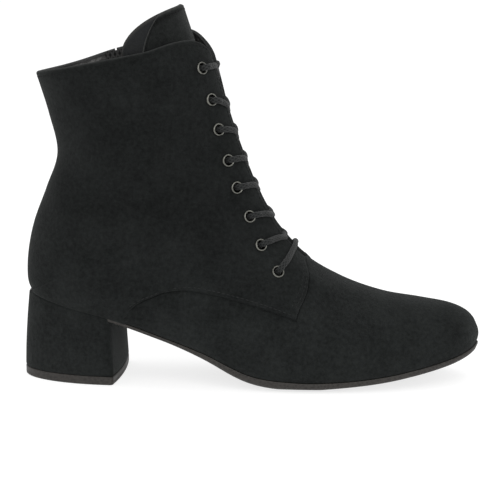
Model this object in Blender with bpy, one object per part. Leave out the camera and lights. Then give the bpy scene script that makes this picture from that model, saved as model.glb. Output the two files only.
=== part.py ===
"""Lace-up ankle boot with a block heel, right foot: one shoe standing on its sole.

The toe points along +X, the outer side of the foot faces -Y, the inner side +Y, and the floor is z = 0.
The form comes from one table of sections. Each section is a plane that fans round the instep, from upright
at the toe to nearly level at the collar, and runs from a point on the sole or back line to one on the ridge.
All sizes below are millimetres; MM turns them into the scene's metres.
"""

import math
from collections import namedtuple

import bmesh
import bpy
import numpy as np
from mathutils import Matrix, Vector

MM = 0.001

# Walls and clearances
WALL = 1.8
QUARTER_LIFT = 0.9
CLEAR = 0.35
SEAT_GAP = 0.3
HEEL_GAP = 0.5

# Eyelets and lace
EYELET_RADIUS = 3.6
EYELET_BORE = 2.0
EYELET_BARREL = 2.4
EYELET_HOLE = 2.75
HOLE_DEPTH = 12.0
EYELET_RISE = 0.8
LACE_RADIUS = 1.3
LACE_BAR_RISE = -0.75
LACE_UNDER_DROP = 0.55
FACING_GAP = 7.0
FACING_GAP_LOW = 4.0

# Quarter seam, an arch from the waist over the vamp's wing to the front corner
SEAM_TAIL_X = 62.0
SEAM_TAIL_DROP = 22.5
SEAM_PEAK_X = 95.0
SEAM_PEAK_Z = 55.0
SEAM_FRONT_X = 153.0
SEAM_FRONT_DROP = 11.4
SEAM_FRONT_POWER = 1.6
SEAM_WIDTH = 0.012
SEAM_STEP = 0.02
SEAM_TAIL_ROW = 10.72
SEAM_BEHIND = 0.16
THROAT_BOW = 3.5

# Sole, heel and insole
SOLE_FOREFOOT = 5.3
SOLE_WAIST = 2.6
SOLE_WAIST_END = 98.0
SOLE_FOREFOOT_START = 128.0
BREAST_TOP_X = 52.6
BREAST_LOW_X = 53.6
HEEL_BACK_X = -0.3
HEEL_LOW_HALF = 26.8
HEEL_CORNER = 2.4
LIFT_HEIGHT = 4.6
INSOLE_THICK = 2.4
INSOLE_INSET = 2.5

# Tongue
TONGUE_THICK = 1.4
TONGUE_PANEL = 0.7
TONGUE_START = 6.35
TONGUE_WING_LOW = 0.76
TONGUE_WING_TOP = 0.455
TONGUE_PANEL_AT = 0.38
TONGUE_REACH = 0.92
TONGUE_ROUND = 2.1
TONGUE_LEAN = 4.5
TONGUE_CLEAR = 0.95
TONGUE_DIP = 3.0

# Zip on the inner side
ZIP_TOP_X = 48.0
ZIP_TOP_Z = 177.0
ZIP_LOW_X = 62.0
ZIP_LOW_Z = 74.0
ZIP_SLIT_HALF = 3.6
ZIP_SLIT_TOP = 0.9
ZIP_CHAIN_HALF = 2.4
ZIP_TAPE_HALF = 10.0
ZIP_TAPE_THICK = 0.9
ZIP_CHAIN_LIFT = 1.9
ZIP_CLEAR = 0.75
ZIP_SLIDER_Z = 163.0
SLIDER_LENGTH = 11.0
SLIDER_HALF = 4.4
SLIDER_THICK = 2.0
STAPLE_HEIGHT = 2.6
STAPLE_RADIUS = 0.8
STAPLE_HALF = 2.6
PULL_LENGTH = 22.0
PULL_HALF = 2.6
PULL_NECK = 5.0
PULL_CORNER = 1.5
PULL_THICK = 1.2
PULL_EYE_HALF = 1.5
PULL_EYE_OUTER = 2.1
PULL_EYE_BORE = 1.2

# Rows of the section table where the throat opens, the sole ends and the collar lies
THROAT_ROW = 7
SEAT_END_ROW = 15
COLLAR_ROW = 22
COLLAR_CORNER = 0.67
COLLAR_CORNER_SPAN = 0.2
COLLAR_FRONT_RISE = 0.135
COLLAR_INNER_RISE = 0.21
INNER_TURN = 0.17

Section = namedtuple(
    "Section",
    "back_x back_z front_x front_z middle ridge outer inner sole_outer sole_inner belly"
    " round_front round_back",
)

# One row for each section plane, from the toe's tip to the tongue's top. back is the point on the sole
# line or back line, front the one on the ridge. middle is the section's centre in y and ridge the further
# shift of its ridge. outer and inner are the half widths at the belly, which lies at that share of the way
# from back to front, and sole_outer and sole_inner those at the feather edge. round_front and round_back
# blunt the curve's ends: 2 is an ellipse, more is blunter and less is sharper.
SECTIONS = [
    Section(249.0, 20.6, 249.6, 29.0, 9.0, 0.0, 0.0, 0.0, 0.0, 0.0, 0.40, 2.0, 1.8),
    Section(247.2, 19.6, 247.2, 33.4, 8.8, 0.0, 8.4, 8.0, 7.4, 7.2, 0.38, 2.0, 1.8),
    Section(242.6, 17.8, 242.8, 37.6, 8.4, 0.2, 16.4, 15.4, 15.0, 14.4, 0.36, 2.1, 1.8),
    Section(234.0, 15.2, 233.5, 41.8, 7.7, 0.5, 23.8, 22.4, 22.2, 21.2, 0.34, 2.2, 1.8),
    Section(218.0, 11.6, 217.5, 45.2, 6.6, 1.0, 30.4, 29.6, 28.6, 28.4, 0.32, 2.2, 1.8),
    Section(198.0, 8.2, 197.5, 48.4, 5.2, 1.6, 35.8, 36.2, 33.4, 34.8, 0.31, 2.2, 1.8),
    Section(175.0, 5.8, 175.5, 55.8, 3.8, 2.2, 38.6, 40.6, 35.8, 39.2, 0.30, 2.0, 1.7),
    Section(152.0, 5.2, 155.0, 65.6, 2.4, 2.2, 38.8, 40.6, 35.8, 38.6, 0.30, 1.8, 1.7),
    Section(128.0, 8.8, 147.2, 76.0, 1.2, 2.0, 37.6, 37.8, 33.8, 32.6, 0.29, 1.65, 1.6),
    Section(102.0, 19.4, 141.2, 84.8, 0.4, 1.6, 35.8, 34.4, 30.4, 25.8, 0.27, 1.65, 1.6),
    Section(76.0, 28.4, 136.8, 92.0, 0.0, 1.2, 34.2, 32.6, 28.4, 24.2, 0.25, 2.0, 1.6),
    Section(53.0, 36.0, 133.0, 98.2, 0.0, 0.9, 33.0, 32.0, 27.4, 26.0, 0.25, 2.3, 1.5),
    Section(31.0, 41.2, 129.8, 104.0, 0.0, 0.7, 32.2, 31.6, 24.4, 24.4, 0.27, 2.65, 1.4),
    Section(15.0, 44.0, 127.1, 109.5, 0.0, 0.5, 31.6, 31.2, 17.4, 17.4, 0.30, 2.8, 1.4),
    Section(7.4, 45.5, 124.8, 114.7, 0.0, 0.4, 31.0, 30.8, 10.2, 10.2, 0.33, 3.0, 1.5),
    Section(4.6, 46.6, 122.8, 119.7, 0.0, 0.3, 30.6, 30.6, 0.0, 0.0, 0.34, 3.0, 2.0),
    Section(3.1, 55.0, 120.8, 125.2, 0.0, 0.2, 30.4, 30.4, 0.0, 0.0, 0.35, 3.0, 2.0),
    Section(3.9, 69.5, 118.6, 131.2, 0.0, 0.1, 30.2, 30.2, 0.0, 0.0, 0.36, 3.0, 2.0),
    Section(7.5, 86.0, 116.2, 138.2, 0.0, 0.0, 30.0, 30.0, 0.0, 0.0, 0.38, 3.0, 2.0),
    Section(14.5, 104.5, 113.6, 146.7, 0.0, 0.0, 30.6, 30.6, 0.0, 0.0, 0.41, 2.8, 2.0),
    Section(21.4, 124.0, 110.7, 157.2, 0.0, 0.0, 32.0, 32.0, 0.0, 0.0, 0.44, 2.65, 2.0),
    Section(17.6, 145.5, 107.5, 169.7, 0.0, 0.0, 33.8, 33.8, 0.0, 0.0, 0.46, 2.3, 2.05),
    Section(11.4, 166.5, 103.3, 184.5, 0.0, 0.0, 35.0, 35.0, 0.0, 0.0, 0.48, 2.25, 2.1),
    Section(5.0, 188.0, 96.5, 206.0, 0.0, 0.0, 35.0, 35.0, 0.0, 0.0, 0.48, 2.25, 2.1),
]
TABLE = np.array(SECTIONS)
BELLY_T = 0.4

# One row for each pair of eyelets from the collar down: its section row and its distance from the ridge
Eyelet = namedtuple("Eyelet", "row distance")
EYELETS = [
    Eyelet(21.15, 17.6),
    Eyelet(19.90, 17.0),
    Eyelet(18.30, 16.1),
    Eyelet(15.90, 15.6),
    Eyelet(13.20, 16.2),
    Eyelet(10.75, 17.2),
    Eyelet(9.20, 19.6),
    Eyelet(8.10, 24.0),
]

# One row for each point of a strand, from its eyelet over the facing into the gap. The distance from the
# ridge is a share of the eyelet's, a share of the facing's and a shift; height is above the skin.
Strand = namedtuple("Strand", "of_eyelet of_facing shift height")
STRANDS = [
    Strand(1.0, 0.0, 0.5, 3.85),
    Strand(1.0, 0.0, -4.2, 3.8),
    Strand(0.5, 0.5, 0.0, 3.05),
    Strand(0.0, 1.0, 2.4, 2.85),
    Strand(0.0, 1.0, -0.4, 2.7),
    Strand(0.0, 0.5, 0.0, 1.8),
    Strand(0.0, 0.0, 0.0, 0.9),
    Strand(0.0, -0.4, 0.0, 0.1),
    Strand(0.0, -1.0, 2.4, -0.2),
]
BAR = [
    Strand(1.0, 0.0, 0.5, 3.85),
    Strand(1.0, 0.0, -4.2, 3.85),
    Strand(0.5, 0.5, 0.0, 3.6),
    Strand(0.0, 1.0, 1.0, 3.5),
    Strand(0.0, 0.0, 0.0, 3.5),
]

# One row for each line round the outsole, from its top edge to the tread: inset from the feather edge, and
# height as a share of the sole's thickness
SoleLine = namedtuple("SoleLine", "inset level")
SOLE_LINES = [
    SoleLine(-0.7, 1.0),
    SoleLine(-0.1, 0.42),
    SoleLine(3.6, 0.14),
    SoleLine(9.0, 0.0),
]

HEEL_STATIONS = [0.004, 0.03, 0.08, 0.16, 0.27, 0.40, 0.55, 0.72, 0.88, 0.97, 1.0]
HEEL_LEVELS = [0.0, 0.25, 0.6, 0.88, 1.0]

OUTER, INNER = -1, 1


def smooth(low, high, value):
    """0 at low, 1 at high and an S curve between."""
    share = min(1.0, max(0.0, (value - low) / (high - low)))
    return share * share * (3 - 2 * share)


def solve(rising, low, high, rounds=40):
    """Where a rising function crosses zero."""
    for _ in range(rounds):
        middle = (low + high) / 2
        if rising(middle) > 0:
            high = middle
        else:
            low = middle
    return (low + high) / 2


def spread(start, *runs):
    """Values from start along runs of even steps, each given as its end and its count of steps."""
    values = [start]
    for end, steps in runs:
        values.extend(np.linspace(values[-1], end, steps + 1)[1:])
    return [float(value) for value in values]


# The skin that all soft pieces follow


def section_at(row):
    """The section at a fractional row, on a curve through the table's rows."""
    last = len(TABLE) - 1
    index = min(int(math.floor(row)), last - 1)
    u = row - index
    p0, p1 = TABLE[max(index - 1, 0)], TABLE[index]
    p2, p3 = TABLE[index + 1], TABLE[min(index + 2, last)]
    linear, square, cube = p2 - p0, 2 * p0 - 5 * p1 + 4 * p2 - p3, 3 * p1 - p0 - 3 * p2 + p3
    found = Section(*(p1 + 0.5 * (linear * u + square * u**2 + cube * u**3)))
    return found._replace(sole_outer=max(found.sole_outer, 0.0), sole_inner=max(found.sole_inner, 0.0))


def widths(section, side):
    """Half widths at the belly and at the feather edge on that side."""
    if side == OUTER:
        return section.outer, section.sole_outer
    return section.inner, section.sole_inner


def profile(section, side, t):
    """Share of the way from back to front, and half width, at t: 0 the feather or back line, 1 the ridge."""
    wide, sole = widths(section, side)
    if t < BELLY_T:
        angle = math.pi / 2 * (1 - t / BELLY_T)
        along = section.belly * (1 - math.sin(angle))
        half = sole + (wide - sole) * max(math.cos(angle), 0.0) ** (2 / section.round_back)
    else:
        angle = math.pi / 2 * (t - BELLY_T) / (1 - BELLY_T)
        along = section.belly + (1 - section.belly) * math.sin(angle)
        half = wide * max(math.cos(angle), 0.0) ** (2 / section.round_front)
    if t >= 1 or (t <= 0 and sole == 0):
        half = 0.0
    return along, half


def front_t(row, side, half):
    """t where the skin lies this far from the ridge, on the way from the belly to it."""
    section = section_at(row)
    share = min(1.0, half / widths(section, side)[0])
    return BELLY_T + (1 - BELLY_T) * math.acos(share ** (section.round_front / 2)) / (math.pi / 2)


def facing_gap(row):
    """Half the gap between the facings, which open in a V from the throat."""
    return FACING_GAP_LOW + (FACING_GAP - FACING_GAP_LOW) * smooth(THROAT_ROW, THROAT_ROW + 3, row)


def edge_t(row, side):
    """t of the facing's edge, or of the ridge where the vamp closes it."""
    return 1.0 if row <= THROAT_ROW else front_t(row, side, facing_gap(row))


def collar_share(row):
    return smooth(COLLAR_ROW - 2, COLLAR_ROW, row)


def collar_row(row, side, t):
    """Row of the upper's skin, which rises towards the collar's front and rounds its front corners."""
    along = profile(section_at(row), side, t)[0]
    reach = min(1.0, max(0.0, (t - edge_t(row, side)) / COLLAR_CORNER_SPAN + 1))
    rise = COLLAR_FRONT_RISE * smooth(0.66, 0.86, along) - COLLAR_CORNER * (1 - math.sqrt(1 - reach**2))
    if side == INNER:
        rise += COLLAR_INNER_RISE * math.sin(math.pi * along) ** 2
    return row + rise * collar_share(row)


def skin(row, side, t):
    """Point of the base skin, which is the vamp's outer face."""
    section = section_at(row)
    along, half = profile(section, side, t)
    x = section.back_x + (section.front_x - section.back_x) * along
    z = section.back_z + (section.front_z - section.back_z) * along
    bow = smooth(0.55, 0.8, along) * (1 - smooth(0.86, 1.0, along))
    x += THROAT_BOW * bow * math.exp(-(((row - THROAT_ROW) / 0.9) ** 2))
    if side == INNER:
        facing = smooth(THROAT_ROW, THROAT_ROW + 3, row) - smooth(COLLAR_ROW - 2.5, COLLAR_ROW - 0.5, row)
        x -= INNER_TURN * half * smooth(0.5, 0.95, along) * facing
    y = section.middle + section.ridge * along + side * half
    return np.array((x, y, z))


def skin_normal(row, side, t):
    """Outward normal of the base skin."""
    step_row, step_t = 0.02, 0.004
    low, high = max(t - step_t, 0.0), min(t + step_t, 1.0)
    if high >= 1.0:
        along_t = skin(row, -side, 1 - step_t) - skin(row, side, 1 - step_t)
    else:
        along_t = skin(row, side, high) - skin(row, side, low)
    along_row = skin(row + step_row, side, t) - skin(row - step_row, side, t)
    normal = np.cross(along_row, along_t) * side
    return normal / np.linalg.norm(normal)


def lifted(row, side, t, height):
    """Point this far off the base skin."""
    return skin(row, side, t) + skin_normal(row, side, t) * height


def across(row, distance, height):
    """Point off the skin at a signed distance from the ridge, negative on the outer side."""
    side = INNER if distance > 0 else OUTER
    return lifted(row, side, front_t(row, side, abs(distance)), height)


def seam_height(x):
    """Height of the quarter's lower edge over the vamp's wing."""
    if x < SEAM_PEAK_X:
        share = min(1.0, (SEAM_PEAK_X - x) / (SEAM_PEAK_X - SEAM_TAIL_X))
        return SEAM_PEAK_Z - SEAM_TAIL_DROP * (1 - math.sqrt(1 - share**2))
    share = (x - SEAM_PEAK_X) / (SEAM_FRONT_X - SEAM_PEAK_X)
    return SEAM_PEAK_Z - SEAM_FRONT_DROP * share**SEAM_FRONT_POWER


def seam_t(row, side):
    """t of the quarter's lower edge, and of a plain line ahead of the seam and behind its tail."""
    seam_row = min(max(row, THROAT_ROW), SEAM_TAIL_ROW - SEAM_STEP)

    def above(t):
        point = skin(seam_row, side, t)
        return point[2] - seam_height(point[0])

    found = solve(above, 0.1, 0.7)
    return found + (SEAM_BEHIND - found) * smooth(SEAM_TAIL_ROW, SEAT_END_ROW, row)


def zip_x(z):
    """The zip's centre line from the side."""
    return ZIP_LOW_X + (ZIP_TOP_X - ZIP_LOW_X) * (z - ZIP_LOW_Z) / (ZIP_TOP_Z - ZIP_LOW_Z)


def zip_t(row, shift):
    """t of the zip's line on the inner side, shifted forward by this much."""

    def ahead(t):
        point = skin(row, INNER, t)
        return point[0] - zip_x(point[2]) - shift

    return solve(ahead, 0.08, 0.85)


ZIP_LOW_ROW = solve(lambda row: skin(row, INNER, zip_t(row, 0.0))[2] - ZIP_LOW_Z, 12.5, 16.5)
BREAST_ROW = solve(lambda row: BREAST_TOP_X + SEAT_GAP - section_at(row).back_x, THROAT_ROW + 1, SEAT_END_ROW)


# Meshes


def grid(bm, places):
    """A grid of quads whose corners sit at places[i][j]. Returns its vertices in the same order."""
    count_i, count_j = len(places), len(places[0])
    made = bmesh.ops.create_grid(bm, x_segments=count_i - 1, y_segments=count_j - 1, size=1.0)["verts"]
    rows = [[None] * count_j for _ in range(count_i)]
    for vert in made:
        i = round((vert.co.x + 1) / 2 * (count_i - 1))
        j = round((vert.co.y + 1) / 2 * (count_j - 1))
        rows[i][j] = vert
    for i, row in enumerate(rows):
        for j, vert in enumerate(row):
            vert.co = Vector(places[i][j])
    return rows


def loft(bm, rings):
    """Skins closed rings of equal length one after another and closes open ends."""
    grid(bm, [list(ring) + [ring[0]] for ring in rings])
    bmesh.ops.remove_doubles(bm, verts=bm.verts, dist=0.001)
    open_edges = [edge for edge in bm.edges if edge.is_boundary]
    if open_edges:
        bmesh.ops.holes_fill(bm, edges=open_edges, sides=0)
    bmesh.ops.recalc_face_normals(bm, faces=bm.faces)


def thicken(bm, lift, depth, rim=None):
    """Turns an open skin into a wall: each vertex goes out by its lift, and its twin goes in by depth.
    Vertices with the rim mark move level, so that the rim stays on the feather line."""
    bm.normal_update()
    tag = bm.verts.layers.int.new("tag")
    moves = []
    for index, vert in enumerate(bm.verts):
        vert[tag] = index
        normal = vert.normal.copy()
        if rim and vert[rim]:
            normal.z = 0.0
            normal.normalize()
        moves.append((normal * vert[lift], normal * depth))
    outside = list(bm.verts)
    region = list(bm.faces) + list(bm.edges) + outside
    made = bmesh.ops.extrude_face_region(bm, geom=region, use_keep_orig=True)["geom"]
    for vert in [item for item in made if isinstance(item, bmesh.types.BMVert)]:
        vert.co -= moves[vert[tag]][1]
    for vert in outside:
        vert.co += moves[vert[tag]][0]
    bmesh.ops.recalc_face_normals(bm, faces=bm.faces)


def face_out(bm, way):
    """Turns an open skin so that its faces look along the given function of their centres."""
    bmesh.ops.recalc_face_normals(bm, faces=bm.faces)
    if sum(face.normal.dot(way(face.calc_center_median())) for face in bm.faces) < 0:
        bmesh.ops.reverse_faces(bm, faces=bm.faces)


def tube(bm, path, radius, sides=6):
    """A closed round tube along a path."""
    path = [Vector(place) for place in path]
    rings = []
    normal = (path[1] - path[0]).orthogonal()
    for k, place in enumerate(path):
        ahead = (path[min(k + 1, len(path) - 1)] - path[max(k - 1, 0)]).normalized()
        normal = (normal - ahead * normal.dot(ahead)).normalized()
        other = ahead.cross(normal)
        turns = [math.tau * step / sides for step in range(sides)]
        rings.append([place + (normal * math.cos(turn) + other * math.sin(turn)) * radius for turn in turns])
    loft(bm, rings)


def paint(name, colour, roughness, metallic=0.0):
    """The material of that name, made at its first use."""
    found = bpy.data.materials.get(name)
    if found:
        return found
    made = bpy.data.materials.new(name)
    made.use_nodes = True
    shader = made.node_tree.nodes["Principled BSDF"]
    shader.inputs["Base Color"].default_value = (*colour, 1.0)
    shader.inputs["Roughness"].default_value = roughness
    shader.inputs["Metallic"].default_value = metallic
    return made


def suede():
    return paint("black_suede", (0.012, 0.013, 0.014), 0.95)


def rubber():
    return paint("sole_rubber", (0.030, 0.028, 0.027), 0.75)


def lining():
    return paint("lining_leather", (0.020, 0.019, 0.019), 0.6)


def cord():
    return paint("lace_cord", (0.018, 0.019, 0.020), 0.85)


def gunmetal():
    return paint("gunmetal", (0.20, 0.20, 0.19), 0.35, 1.0)


def add(name, bm, material, parent):
    """An object in metres from a mesh in millimetres."""
    bmesh.ops.scale(bm, vec=(MM, MM, MM), verts=bm.verts)
    mesh = bpy.data.meshes.new(name)
    bm.to_mesh(mesh)
    bm.free()
    mesh.shade_smooth()
    mesh.set_sharp_from_angle(angle=math.radians(35))
    mesh.materials.append(material)
    made = bpy.data.objects.new(name, mesh)
    made.parent = parent
    bpy.context.scene.collection.objects.link(made)
    return made


def combine(obj, other, operation):
    """Joins or cuts obj with another solid, which is then only a hidden tool."""
    other.hide_render = True
    other.display_type = "WIRE"
    step = obj.modifiers.new(operation.lower(), "BOOLEAN")
    step.solver = "EXACT"
    step.operation = operation
    step.object = other


# Upper

SEAM_LINE = 4
SLIT_LINE = 7
UPPER_LINES = 8


def upper_rows():
    """Section rows of the upper's grid, with a close pair where the quarter's front edge and its tail step
    off the vamp."""
    toe = spread(0.0, (1.0, 3), (4.0, 4), (THROAT_ROW - SEAM_STEP, 4))
    wing = spread(THROAT_ROW + SEAM_STEP, (8.0, 2), (SEAM_TAIL_ROW - SEAM_STEP, 5))
    heel = spread(SEAM_TAIL_ROW + SEAM_STEP, (ZIP_LOW_ROW, 5), (14.0, 1), (SEAT_END_ROW, 4))
    shaft = spread(SEAT_END_ROW, (16.0, 2), (20.0, 6), (COLLAR_ROW, 4))
    return toe + wing + heel + shaft[1:]


def grid_lines(row, side):
    """t of each grid line in a section: the feather or back line, the seam's close pair, on the inner side
    the zip's slit, and the facing's edge or the ridge."""
    seam = seam_t(row, side)
    lines = spread(0.0, (seam - SEAM_WIDTH / 2, SEAM_LINE)) + [seam + SEAM_WIDTH / 2]
    edge = edge_t(row, side)
    if side == OUTER:
        return lines + spread(lines[-1], (edge, UPPER_LINES))[1:]
    even = spread(lines[-1], (edge, UPPER_LINES))
    at_zip = smooth(ZIP_LOW_ROW - 3, ZIP_LOW_ROW, row)
    zip_row = max(row, ZIP_LOW_ROW)
    behind = SLIT_LINE - SEAM_LINE - 1
    half = ZIP_SLIT_HALF - (ZIP_SLIT_HALF - ZIP_SLIT_TOP) * smooth(COLLAR_ROW - 0.5, COLLAR_ROW, row)
    back = even[behind] + (zip_t(zip_row, -half) - even[behind]) * at_zip
    front = even[behind + 1] + (zip_t(zip_row, half) - even[behind + 1]) * at_zip
    return lines + spread(lines[-1], (back, behind), (front, 1), (edge, UPPER_LINES - behind - 1))[1:]


def build_upper(parent, frames):
    """Vamp and quarters as one hollow wall, open at the collar, throat, zip and underneath."""
    bm = bmesh.new()
    lift = bm.verts.layers.float.new("lift")
    rim = bm.verts.layers.int.new("rim")
    rows = upper_rows()
    slit = []
    for side in (OUTER, INNER):
        lines = [[skin(collar_row(row, side, t), side, t) for t in grid_lines(row, side)] for row in rows]
        verts = grid(bm, lines)
        for row, line in zip(rows, verts):
            line[0][rim] = row <= SEAT_END_ROW
            for j, vert in enumerate(line):
                on_quarter = (row > THROAT_ROW and j > SEAM_LINE) or row > SEAM_TAIL_ROW
                vert[lift] = QUARTER_LIFT if on_quarter else 0.0
        if side == INNER:
            for row, line, following in zip(rows, verts, verts[1:]):
                if row >= ZIP_LOW_ROW:
                    corners = set(line[SLIT_LINE : SLIT_LINE + 2] + following[SLIT_LINE : SLIT_LINE + 2])
                    slit += [face for face in line[SLIT_LINE].link_faces if set(face.verts) == corners]
    bmesh.ops.delete(bm, geom=slit, context="FACES")
    bmesh.ops.remove_doubles(bm, verts=bm.verts, dist=0.001)
    face_out(bm, lambda place: Vector((0, place.y, 0)))
    thicken(bm, lift, WALL, rim)
    upper = add("upper", bm, suede(), parent)
    holes = bmesh.new()
    for frame in frames:
        bmesh.ops.create_cone(
            holes,
            cap_ends=True,
            segments=10,
            radius1=EYELET_HOLE,
            radius2=EYELET_HOLE,
            depth=HOLE_DEPTH,
            matrix=frame,
        )
    combine(upper, add("eyelet_holes", holes, suede(), parent), "DIFFERENCE")


# Eyelets


def frame_at(row, distance, height):
    """A frame on the skin: z outwards, x along the lacing."""
    side = INNER if distance > 0 else OUTER
    t = front_t(row, side, abs(distance))
    z_axis = Vector(skin_normal(row, side, t))
    up = Vector(skin(row + 0.05, side, t) - skin(row - 0.05, side, t))
    y_axis = z_axis.cross(up).normalized()
    turn = Matrix((y_axis.cross(z_axis), y_axis, z_axis)).transposed().to_4x4()
    return Matrix.Translation(Vector(skin(row, side, t)) + z_axis * height) @ turn


def eyelet_frames():
    """Frame of each eyelet by its name, from the collar down on both sides."""
    frames = {}
    for label, side in (("outer", OUTER), ("inner", INNER)):
        for number, eyelet in enumerate(EYELETS, 1):
            frames[f"eyelet_{label}_{number}"] = frame_at(eyelet.row, side * eyelet.distance, QUARTER_LIFT)
    return frames


def build_eyelet(name, frame, parent):
    """A turned ring: a domed flange on the quarter and a barrel through its hole."""
    outline = [
        (EYELET_BORE, -WALL),
        (EYELET_BORE, CLEAR + EYELET_RISE * 0.8),
        (EYELET_BORE + 0.8, CLEAR + EYELET_RISE),
        (EYELET_RADIUS, CLEAR),
        (EYELET_BARREL, CLEAR),
        (EYELET_BARREL, -WALL),
    ]
    bm = bmesh.new()
    verts = [bm.verts.new((radius, 0.0, height)) for radius, height in outline]
    edges = [bm.edges.new((verts[k - 1], verts[k])) for k in range(len(verts))]
    bmesh.ops.spin(bm, geom=verts + edges, axis=(0, 0, 1), angle=math.tau, steps=10, use_merge=True)
    bmesh.ops.remove_doubles(bm, verts=bm.verts, dist=0.01)
    bmesh.ops.recalc_face_normals(bm, faces=bm.faces)
    bmesh.ops.transform(bm, matrix=frame, verts=bm.verts)
    add(name, bm, gunmetal(), parent)


# Sole, heel and insole


def feather_rows():
    """Rows along the feather edge from the toe's tip to the seat's end, one of them at the heel's breast."""
    return spread(0.0, (1.0, 4), (7.0, 14), (BREAST_ROW, 9), (12.0, 2), (SEAT_END_ROW, 9))


FEATHER_X = [section_at(row).back_x for row in feather_rows()][::-1]
FEATHER_Z = [section_at(row).back_z for row in feather_rows()][::-1]


def feather_z(x):
    """Height of the feather edge, the upper's lower rim, at x."""
    return float(np.interp(x, FEATHER_X, FEATHER_Z))


def feather_outline(inset):
    """Plan points (x, y) of the feather edge on the outer and on the inner side, moved in by inset."""
    rows = feather_rows()
    line = []
    for side, order in ((OUTER, rows), (INNER, rows[::-1])):
        for row in order:
            section = section_at(row)
            line.append((section.back_x, section.middle + side * widths(section, side)[1]))
    line = np.array(line)
    ring = np.concatenate([line[-2:-1], line, line[1:2]])
    run = ring[2:] - ring[:-2]
    run /= np.linalg.norm(run, axis=1)[:, None]
    moved = line + np.stack([-run[:, 1], run[:, 0]], axis=1) * inset * OUTER
    return moved[: len(rows)], moved[len(rows) :][::-1]


def sole_thickness(x):
    """The sole is thick at the forefoot and thin at the waist."""
    return SOLE_WAIST + (SOLE_FOREFOOT - SOLE_WAIST) * smooth(SOLE_WAIST_END, SOLE_FOREFOOT_START, x)


def sole_z(x, level):
    """Height in the sole: level 1 under the upper, 0 on the underside, flat on the floor at the ball."""
    top = feather_z(x) - SEAT_GAP
    low = max(0.0, top - sole_thickness(x))
    return low + (top - low) * level


def build_outsole(parent):
    """A thin sole from the heel's breast to the toe, with a rounded edge and a flat ball."""
    lines = []
    for line in SOLE_LINES:
        for side, outline in enumerate(feather_outline(line.inset)):
            lines.insert(len(lines) if side else 0, [(x, y, sole_z(x, line.level)) for x, y in outline])
    order = lines[: len(SOLE_LINES)][::-1] + lines[len(SOLE_LINES) :][::-1]
    count = feather_rows().index(BREAST_ROW) + 1
    bm = bmesh.new()
    loft(bm, [[line[k] for line in order] for k in range(1, count)])
    add("outsole", bm, rubber(), parent)


def build_insole(parent):
    """A board inside the upper's rim, from heel to toe."""
    rings = []
    for places in list(zip(*feather_outline(INSOLE_INSET)))[1:-1]:
        low = [(x, y, feather_z(x)) for x, y in places]
        high = [(x, y, z + INSOLE_THICK) for x, y, z in low]
        rings.append([low[0], high[0], high[1], low[1]])
    bm = bmesh.new()
    loft(bm, rings)
    add("insole", bm, lining(), parent)


def heel_half(share, half):
    """Half width of the heel's D outline at a share of its length from the back, with eased front corners."""
    front = min(1.0, max(0.0, (share - 0.95) / 0.05))
    return half * math.sqrt(1 - (1 - share) ** 2) - HEEL_CORNER * (1 - math.sqrt(1 - front**2))


def heel_point(share, level, side):
    """Point of the heel block's wall: level 0 on the top lift, 1 under the seat."""
    back = HEEL_BACK_X + (section_at(SEAT_END_ROW).back_x - HEEL_BACK_X) * level**1.3
    breast = BREAST_LOW_X + (BREAST_TOP_X - BREAST_LOW_X) * level
    x = back + (breast - back) * share
    seat_half = widths(section_at(BREAST_ROW), OUTER)[1] + QUARTER_LIFT
    y = side * heel_half(share, HEEL_LOW_HALF + (seat_half - HEEL_LOW_HALF) * level)
    low = LIFT_HEIGHT + SEAT_GAP
    z = low + (feather_z(x) - HEEL_GAP - low) * level
    return x, y, z


def build_heel(parent):
    """Covered block heel under the seat."""
    rings = []
    for share in HEEL_STATIONS:
        outer = [heel_point(share, level, OUTER) for level in HEEL_LEVELS]
        inner = [heel_point(share, level, INNER) for level in HEEL_LEVELS]
        rings.append(outer + inner[::-1])
    bm = bmesh.new()
    loft(bm, rings)
    add("heel", bm, suede(), parent)


def build_top_lift(parent):
    """The heel's replaceable tread."""
    rings = []
    for share in HEEL_STATIONS:
        x, y, _ = heel_point(share, 0.0, INNER)
        rings.append([(x, -y, 0.0), (x, -y, LIFT_HEIGHT), (x, y, LIFT_HEIGHT), (x, y, 0.0)])
    bm = bmesh.new()
    loft(bm, rings)
    add("top_lift", bm, rubber(), parent)


# Tongue


def wing_t(row):
    """t of the tongue's side edge, which widens from the throat to the collar."""
    share = (row - TONGUE_START) / (COLLAR_ROW - TONGUE_START)
    return TONGUE_WING_LOW + (TONGUE_WING_TOP - TONGUE_WING_LOW) * min(1.0, share)


def tongue_point(step, share, side):
    """Point of the tongue's front: step runs from the throat to its top, share from its side to the ridge."""
    top = COLLAR_ROW + TONGUE_REACH * (1 - (1 - share) ** TONGUE_ROUND) ** (1 / TONGUE_ROUND)
    row = TONGUE_START + (top - TONGUE_START) * step
    edge = wing_t(row)
    lean = TONGUE_LEAN * share * smooth(COLLAR_ROW - 5, COLLAR_ROW + 1, row)
    dip = TONGUE_DIP * (1 - smooth(THROAT_ROW, THROAT_ROW + 2, row))
    depth = WALL + TONGUE_CLEAR + TONGUE_PANEL + lean + dip
    return lifted(row, side, edge + (1 - edge) * share, -depth)


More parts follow.
